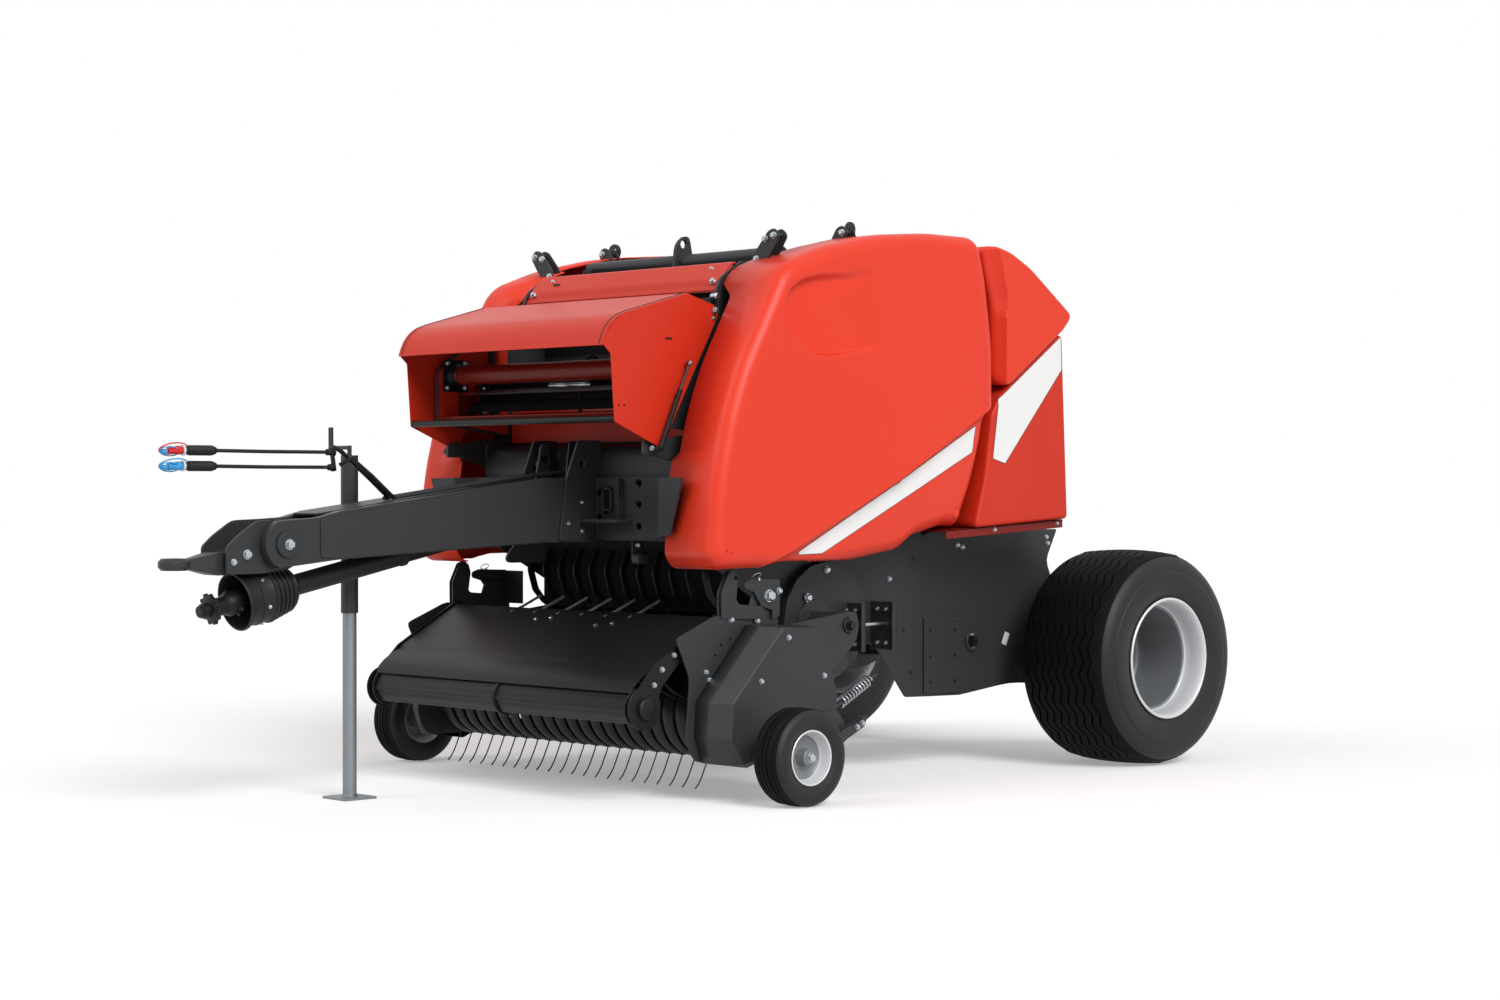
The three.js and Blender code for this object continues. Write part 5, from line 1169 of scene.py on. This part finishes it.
# A box, a bracket and curved feed ribs hang behind the drawbar.
ribs = bmesh.new()
for i in range(12):
    x = -0.55 + 0.10 * i
    plate(ribs, [(-2.085, 0.945, 0.03), (-2.120, 0.860, 0.05), (-2.090, 0.765, 0.05), (-2.030, 0.705, 0.01),
                 (-2.012, 0.718, 0.01), (-2.062, 0.775, 0.05), (-2.088, 0.860, 0.05),
                 (-2.055, 0.945, 0.03)], x - 0.004, x + 0.004, edge=0)
plate(bm, [(-2.300, 0.900, 0.02), (-2.300, 0.992), (-2.240, 0.992), (-2.240, 0.900, 0.02)], 0.330, 0.338)
plate(bm, rect(-2.305, -2.255, 0.902, 0.940, 0.01), 0.338, 0.380)
plate(bm, [(-2.60, 0.900, 0.03), (-2.52, 0.985), (-2.38, 0.985), (-2.36, 0.900, 0.03)], -0.132, -0.120)
for z in (0.975, 0.930):
    bolt(shiny, (0.338, -2.270, z), (1, 0, 0), 0.020)
# A black sheet of painted shade fills the gap behind the ribs.
plate(dark, rect(-1.992, -1.986, 0.700, 1.000), -0.595, 0.595, edge=0)
piece("feed_ribs", ribs, "chassis", black_paint)
piece("drawbar_fittings", bm, "chassis", charcoal)
# Holes, slots, the window and the sheet behind the ribs are black as painted shade.
piece("drawbar_holes", dark, "chassis", painted_shade_black, even=False)
hardware("drawbar_bolts", shiny, "chassis")
print("drawbar done")

# %% [markdown]
# The drive shaft runs in a plastic guard: a wide bell with ribs for stiffness, held by screws, then
# a plain tube. In front its yoke shows, with the release collar of the spline.

# %% Drive shaft
SHAFT = Vector((0, 1, 0.214)).normalized()


def on_shaft(y):
    """A point on the drive shaft's axis, measured at the rear axle."""
    return (0, y, 0.752 + 0.214 * (y + 4.094))


bm = bmesh.new()
bell = [(0.0, 0.103), (0.0, 0.108), (0.004, 0.110), (0.012, 0.109), (0.016, 0.102), (0.020, 0.1005)]
bell += [(0.060, 0.1005), (0.062, 0.104), (0.070, 0.104), (0.072, 0.1005), (0.112, 0.1005)]
for i in range(5):
    at, r = 0.116 + 0.022 * i, 0.108 - 0.0045 * i
    bell += [(at, r - 0.006), (at + 0.003, r), (at + 0.009, r + 0.0005), (at + 0.013, r - 0.001),
             (at + 0.016, r - 0.012)]
bell += [(0.228, 0.082), (0.240, 0.070), (0.252, 0.052), (0.262, 0.041), (0.270, 0.040), (0.760, 0.040),
         (0.762, 0.044), (0.776, 0.044), (0.778, 0.034), (1.408, 0.034), (1.408, 0.022), (0.250, 0.022),
         (0.226, 0.074), (0.140, 0.088), (0.024, 0.095), (0.0, 0.103)]
turned(bm, bell, on_shaft(-3.940), SHAFT, 56)
piece("pto_shield_ribbed", bm, "chassis", black_plastic, "pto_shield", sharp=32, even=False)
bm = bmesh.new()
across = Vector((1, 0, 0))
over = SHAFT.cross(across).normalized()
for turn in (20, 80, 140, 200, 260, 320):
    out = across * cos(radians(turn)) + over * sin(radians(turn))
    spot = Vector(on_shaft(-3.940)) + SHAFT * 0.085 + out * 0.1005
    bolt(bm, tuple(spot), tuple(out), 0.011)
hardware("pto_shield_screws", bm, "chassis")
bm = bmesh.new()
yoke = [(0, 0.0), (0, 0.020), (0.004, 0.023), (0.014, 0.023), (0.016, 0.028), (0.040, 0.028),
        (0.044, 0.048), (0.048, 0.052), (0.060, 0.052), (0.064, 0.046), (0.070, 0.035), (0.108, 0.034),
        (0.118, 0.042), (0.126, 0.045), (0.206, 0.045), (0.214, 0.040), (0.240, 0.026), (0.262, 0.018),
        (1.688, 0.018), (1.688, 0.0)]
turned(bm, yoke, on_shaft(-4.094), SHAFT, 40)
for i in range(10):
    turn = 2 * pi * i / 10
    out = across * cos(turn) + over * sin(turn)
    spot = Vector(on_shaft(-4.094)) + SHAFT * 0.0455 + out * 0.050
    disc(bm, tuple(spot), SHAFT, 0.010, 0.013, 10)
for turn in (45, 225):
    out = across * cos(radians(turn)) + over * sin(radians(turn))
    spot = Vector(on_shaft(-4.094)) + SHAFT * 0.160
    turned(bm, [(-0.058, 0.0), (-0.058, 0.018), (-0.050, 0.021), (0.050, 0.021), (0.058, 0.018),
                (0.058, 0.0)], tuple(spot), out, 18)
piece("pto_shaft_yoke", bm, "drive_shaft", black_paint, "pto_shaft", sharp=32, even=False)
print("drive shaft done")

# %% [markdown]
# Two hydraulic lines rest on a bent rod holder. Each ends in a quick coupling with a knurled black
# grip and a soft dust cap on a loop strap: red and blue tell the two apart.

# %% Hydraulic couplings
def loop(bm, y, z, long, tall, radius, lean=0.0):
    """A soft strap that hangs in a loop round a coupling."""
    line = [(0.016 * sin(t * pi / 12), y + long * cos(t * pi / 12),
             z + tall * sin(t * pi / 12) + lean * cos(t * pi / 12)) for t in range(25)]
    rod(bm, line, radius, 1)


for name, z, end, cap in (("upper", 1.341, -3.5167, red_plastic), ("lower", 1.284, -3.5085, blue_plastic)):
    bm = bmesh.new()
    grip = [(0, 0.0), (0, 0.012), (0.003, 0.0145), (0.016, 0.0145), (0.018, 0.018)]
    for i in range(11):
        grip += [(0.020 + 0.009 * i, 0.0180), (0.022 + 0.009 * i, 0.0192), (0.026 + 0.009 * i, 0.0192),
                 (0.028 + 0.009 * i, 0.0180)]
    grip += [(0.122, 0.0175), (0.134, 0.013), (0.138, 0.0085), (0.138, 0.0)]
    turned(bm, grip, (0, -4.156, z), (0, 1, 0), 24)
    rod(bm, [(0, -4.03, z), (0, -3.80, z - 0.002), (0, end, z - 0.002)], 0.0072, 3)
    turned(bm, rect(0, 0.016, 0.008, 0.0125), (0, end - 0.016, z - 0.002), (0, 1, 0), 16)
    piece(f"hydraulic_line_{name}_detail", bm, "chassis", black_plastic, f"hydraulic_line_{name}", sharp=40,
          even=False)
    bm = bmesh.new()
    turned(bm, [(0, 0.0), (0, 0.011), (0.004, 0.0145), (0.010, 0.0145), (0.012, 0.0125), (0.030, 0.0125),
                (0.034, 0.0165), (0.046, 0.0165), (0.048, 0.012), (0.066, 0.012), (0.066, 0)],
                (0, -4.221, z), (0, 1, 0), 24)
    loop(bm, -4.200, z + 0.006, 0.058, 0.020, 0.0026, 0.004)
    piece(f"coupling_cap_{name}", bm, "chassis", cap, sharp=40, even=False)
    bm = bmesh.new()
    loop(bm, -4.214, z - 0.004, 0.040, 0.016, 0.0024, -0.004)
    disc(bm, (0, -4.246, z - 0.006), (0, 1, 0.05), 0.010, 0.018, 16)
    piece(f"coupling_strap_{name}", bm, "chassis", blue_plastic, even=False)
    bm = bmesh.new()
    turned(bm, rect(0, 0.008, 0.014, 0.0196), (0, -4.164, z), (0, 1, 0), 24)
    piece(f"coupling_ring_{name}", bm, "chassis", silver_paint, slot="", even=False)
bm = bmesh.new()
hanger = ((-3.25, 1.104), (-3.25, 1.160), (-3.262, 1.180), (-3.345, 1.248), (-3.470, 1.344),
          (-3.500, 1.358), (-3.512, 1.350), (-3.506, 1.320), (-3.498, 1.268))
rod(bm, [(0, y, z) for y, z in hanger], 0.009, 3)
rod(bm, [(0.03, -3.20, 1.135), (0.03, -3.262, 1.180), (0.03, -3.345, 1.248), (0.03, -3.440, 1.318),
         (0.0, -3.475, 1.290)], 0.008, 3)
plate(bm, [(-3.272, 1.098, 0.004), (-3.272, 1.110, 0.004), (-3.200, 1.118, 0.004), (-3.200, 1.106, 0.004)],
      -0.087, 0.087)
for z in (1.339, 1.282):
    turned(bm, [(-0.005, 0.009), (-0.005, 0.016), (0.005, 0.016), (0.005, 0.009), (-0.005, 0.009)],
           (0, -3.505, z), (0, 1, 0.1), 16)
piece("hose_holder_bent", bm, "chassis", black_paint, "hose_holder")
print("couplings done")

# %% [markdown]
# Bolts, brackets and the blank label plate of the chassis, the ears that hold the doors' hinges, and
# the strip under the tailgate panels, whose dark red is painted shade.

# %% Chassis fittings
bm = bmesh.new()
dark = bmesh.new()
shiny = bmesh.new()
for side in (1, -1):
    bolts(shiny, side, 0.612, ((-1.865, 0.93), (-0.652, 0.947), (-0.684, 0.956), (-0.098, 0.983),
                               (-0.088, 0.955), (-1.109, 0.820)), 0.016)
    # Holes in the chassis plate are black discs of painted shade.
    for y in (-0.862, -0.708):
        for z in (0.372, 0.482, 0.592):
            disc(dark, (side * 0.6212, y, z), (side, 0, 0), 0.009, 0.0012, 12)
    for y, z in ((-1.020, 0.60), (-0.975, 0.42), (-0.96, 0.90)):
        disc(dark, (side * 0.6122, y, z), (side, 0, 0), 0.009, 0.0012, 12)
    turned(bm, [(0, 0.034), (0, 0.044), (0.010, 0.044), (0.012, 0.042), (0.012, 0.034), (0, 0.034)],
           (side * 0.6115, -0.591, 0.540), (side, 0, 0), 32)
    # Brackets with a rod between them, ahead of the chassis plate.
    for y1 in (-1.393, -1.210):
        plate(bm, rect(y1 - 0.024, y1, 0.530, 0.730), *span(side, 0.744, 0.752))
        plate(bm, rect(y1 - 0.010, y1, 0.530, 0.730), *span(side, 0.612, 0.752))
        for x, z in ((0.700, 0.560), (0.700, 0.700), (0.650, 0.560), (0.650, 0.700)):
            bolt(shiny, (side * x, y1 - 0.010, z), (0, -1, 0), 0.014)
    rod(shiny, [(side * 0.70, -1.45, 0.640), (side * 0.70, -1.215, 0.640)], 0.008, 3)
    bolt(shiny, (side * 0.654, -1.522, 0.868), (side, 0, 0), 0.020)
    bolt(shiny, (side * 0.660, -1.640, 0.757), (side, 0, 0), 0.026)
    bolt(dark, (side * 0.866, -1.600, 0.650), (side, 0, 0), 0.030)
    # Hinge ears: bolts and a lifting ring.
    for x, y, z in ((0.750, -1.9145, 2.207), (0.700, -1.9145, 2.196), (0.750, -1.5285, 2.242)):
        bolt(shiny, (side * x, y, z), (0, -1, 0), 0.020)
    bolt(shiny, (side * 0.650, -1.9145, 2.120), (0, -1, 0), 0.018)
    ring = spun(rect(-0.004, 0.004, 0.013, 0.034), place(side * 0.735, -1.470, 2.256), (0.15 * side, 1, 0),
                28)
    gather(bm, ring)
    plate(bm, [(side * 0.690, 2.180, 0.01), (side * 0.705, 2.240, 0.01), (side * 0.765, 2.238, 0.01),
               (side * 0.785, 2.190, 0.01)], -1.474, -1.466, axis="y")
    # Bolts of the crossbar and the front wall.
    bolt(shiny, (side * 0.565, -2.072, 2.024), (0, -0.74, 0.67), 0.020)
    bolt(shiny, (side * 0.500, -2.020, 2.082), (0, -0.74, 0.67), 0.013)
    bolt(shiny, (side * 0.590, -2.1545, 1.44), (0, -1, 0), 0.016)
    bolt(shiny, (side * 0.642, -2.465, 1.357), (0, -1, 0), 0.016)
    turned(shiny, [(0, 0.0), (0, 0.014), (0.030, 0.014), (0.032, 0.011), (0.032, 0)],
           (side * 0.612, -2.12, 1.96), (side, 0, 0), 16)
    plate(bm, [(-2.495, 1.330, 0.01), (-2.495, 1.384, 0.01), (-2.430, 1.400, 0.01), (-2.430, 1.330, 0.01)],
          *span(side, 0.612, 0.628))
# The black slot here is painted shade.
plate(dark, [(-0.470, 2.062), (-0.435, 2.062), (-0.435, 2.070), (-0.470, 2.070)], -2.043, -2.032, edge=0,
      axis="y")
piece("chassis_brackets", bm, "chassis", charcoal)
# The holes and the slot here are black as painted shade.
piece("chassis_holes", dark, "chassis", black_plastic, even=False)
hardware("chassis_bolts", shiny, "chassis")
bm = bmesh.new()
plate(bm, [(-0.396, 0.520, 0.004), (-0.372, 0.572, 0.004), (-0.342, 0.562, 0.004), (-0.366, 0.510, 0.004)],
      0.6121, 0.6131, edge=0)
piece("label_plate_blank", bm, "chassis", white_film, even=False)
bm = bmesh.new()
shiny = bmesh.new()
for side in (1, -1):
    plate(bm, [(-1.045, 1.0197), (-1.045, 1.0257), (-0.300, 1.067), (-0.300, 1.061)],
          *span(side, 0.6135, 0.880))
    plate(bm, [(-1.045, 0.9897), (-1.045, 1.0257), (-0.300, 1.067), (-0.300, 1.031)],
          *span(side, 0.874, 0.880))
    for y in (-0.745, -0.340):
        bolt(shiny, (side * 0.880, y, 1.018 + 0.055 * (y + 0.895)), (side, 0, 0), 0.013)
# The strip's dark red is painted shade under the panel.
piece("tailgate_strip", bm, "tailgate", deep_red_and_shade)
hardware("tailgate_bolts", shiny, "tailgate")
print("chassis fittings done")

# %% [markdown]
# Wheel hardware: a ring of nuts on each rear disc, the valve stem, and the big nut that
# holds each gauge wheel.

# %% Wheel hardware
for side, end in SIDES:
    bm = bmesh.new()
    x = side * (rear_centre.x - 0.092)
    for i in range(8):
        turn = 2 * pi * i / 8
        bolt(bm, (x - side * 0.004, 0.085 * cos(turn), REAR_RADIUS + 0.085 * sin(turn)), (side, 0, 0),
             0.020)
    hardware(f"rear_wheel_{end}_nuts", bm, f"rear_wheel_{end}")
    bm = bmesh.new()
    bolt(bm, (side * (gauge_centre.x + 0.056), gauge_centre.y - AXLE_Y, gauge_centre.z), (side, 0, 0),
         0.028)
    hardware(f"gauge_wheel_{end}_nut", bm, f"gauge_wheel_{end}")
    bm = bmesh.new()
    rod(bm, [(side * (rear_centre.x + 0.130), 0.0, REAR_RADIUS + 0.222),
             (side * (rear_centre.x + 0.160), 0.0, REAR_RADIUS + 0.222)], 0.004, 2)
    piece(f"rear_wheel_{end}_valve", bm, f"rear_wheel_{end}", black_plastic, slot="", even=False)
print("wheel hardware done")

# %% [markdown]
# The parking jack's leg is a galvanised tube on a foot plate with rounded corners. Its top end stops
# a little short of the bore's end, and a weld bead runs round the tube where it meets the plate.

# %% Jack leg
low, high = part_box("jack_leg")
x, y = (low.x + high.x) / 2, (low.y + high.y) / 2 - AXLE_Y
bm = bmesh.new()
plate(bm, rect(y - 0.075, y + 0.075, 0.0, 0.010), x - 0.075, x + 0.075, edge=0.002)
turned(bm, [(0.008, 0.0), (0.008, 0.033), (0.012, 0.0325), (0.017, 0.0275), (0.022, 0.027),
            (high.z - 0.008, 0.027), (high.z - 0.005, 0.024), (high.z - 0.005, 0.0)], (x, y, 0), (0, 0, 1),
            32)
piece("jack_leg_tube", bm, BODY_OF["jack_leg"], galvanised, "jack_leg")
print("jack leg done")

# %% [markdown]
# CAD nodes that keep their own shape only need a finish. Their record slots say which.

# %% Finishes of the remaining CAD nodes
FINISH = {slot: finish for finish, slot in reversed(SLOT_OF.items())}
slot_of = {part["node"]: part["material_slot"] for part in frame["record"]["subparts"]}
for name, obj in frame["nodes"].items():
    obj.data.materials.clear()
    obj.data.materials.append(FINISH.get(slot_of.get(name), charcoal))
for end in ("left", "right"):
    # Gas struts have rods nitrided to a dark grey.
    frame["nodes"][f"strut_rod_{end}"].data.materials[0] = charcoal
print("CAD nodes still shown:", [n for n, o in frame["nodes"].items() if not o.hide_render])

# %% [markdown]
# The studio: a plain pale floor and an even white sky. The sky lights the machine gently, one broad
# lamp above the camera's side models it, and a weaker one keeps the front from going dull. Only
# what the camera, a mirror or glass sees of the sky is pure white.

# %% Floor and light
bm = bmesh.new()
bmesh.ops.create_grid(bm, x_segments=1, y_segments=1, size=60)
mesh = bpy.data.meshes.new("floor")
bm.to_mesh(mesh)
bm.free()
floor = bpy.data.objects.new("floor", mesh)
bpy.context.scene.collection.objects.link(floor)
paper, tree, where = new_material("matt white paper")
rays = node(tree, "ShaderNodeLightPath")
seen = node(tree, "ShaderNodeMath", {0: rays.outputs["Is Camera Ray"], 1: rays.outputs["Is Glossy Ray"]},
            operation="MAXIMUM")
seen = node(tree, "ShaderNodeMath", {0: seen.outputs[0], 1: rays.outputs["Is Transmission Ray"]},
            operation="MAXIMUM")
glow = node(tree, "ShaderNodeMath", {0: seen.outputs[0], 1: 0.31}, operation="MULTIPLY")
matt = node(tree, "ShaderNodeBsdfDiffuse", {"Color": (0.8, 0.8, 0.8, 1)})
light = node(tree, "ShaderNodeEmission", {"Color": (1, 1, 1, 1), "Strength": glow.outputs[0]})
both = node(tree, "ShaderNodeAddShader", {0: matt.outputs[0], 1: light.outputs[0]})
node(tree, "ShaderNodeOutputMaterial", {"Surface": both.outputs[0]})
mesh.materials.append(paper)

world = bpy.data.worlds.new("studio sky")
bpy.context.scene.world = world
world.use_nodes = True
tree = world.node_tree
tree.nodes.clear()
rays = node(tree, "ShaderNodeLightPath")
seen = node(tree, "ShaderNodeMath", {0: rays.outputs["Is Camera Ray"], 1: rays.outputs["Is Glossy Ray"]},
            operation="MAXIMUM")
seen = node(tree, "ShaderNodeMath", {0: seen.outputs[0], 1: rays.outputs["Is Transmission Ray"]},
            operation="MAXIMUM")
strength = node(tree, "ShaderNodeMapRange", {"Value": seen.outputs[0], "To Min": 0.34, "To Max": 1.0})
sky = node(tree, "ShaderNodeBackground", {"Color": (1, 1, 1, 1), "Strength": strength.outputs[0]})
node(tree, "ShaderNodeOutputWorld", {"Surface": sky.outputs[0]})


def sun(name, strength, spread, towards):
    """A broad, soft lamp that shines along a direction."""
    lamp = bpy.data.lights.new(name, "SUN")
    lamp.energy, lamp.angle = strength, radians(spread)
    made = bpy.data.objects.new(name, lamp)
    made.rotation_mode = "QUATERNION"
    made.rotation_quaternion = Vector(towards).to_track_quat("-Z", "Y")
    bpy.context.scene.collection.objects.link(made)


sun("key", 2.35, 30, (-0.85, 0.22, -0.62))
sun("fill", 0.75, 35, (0.30, 0.80, -0.60))
print("studio ready")
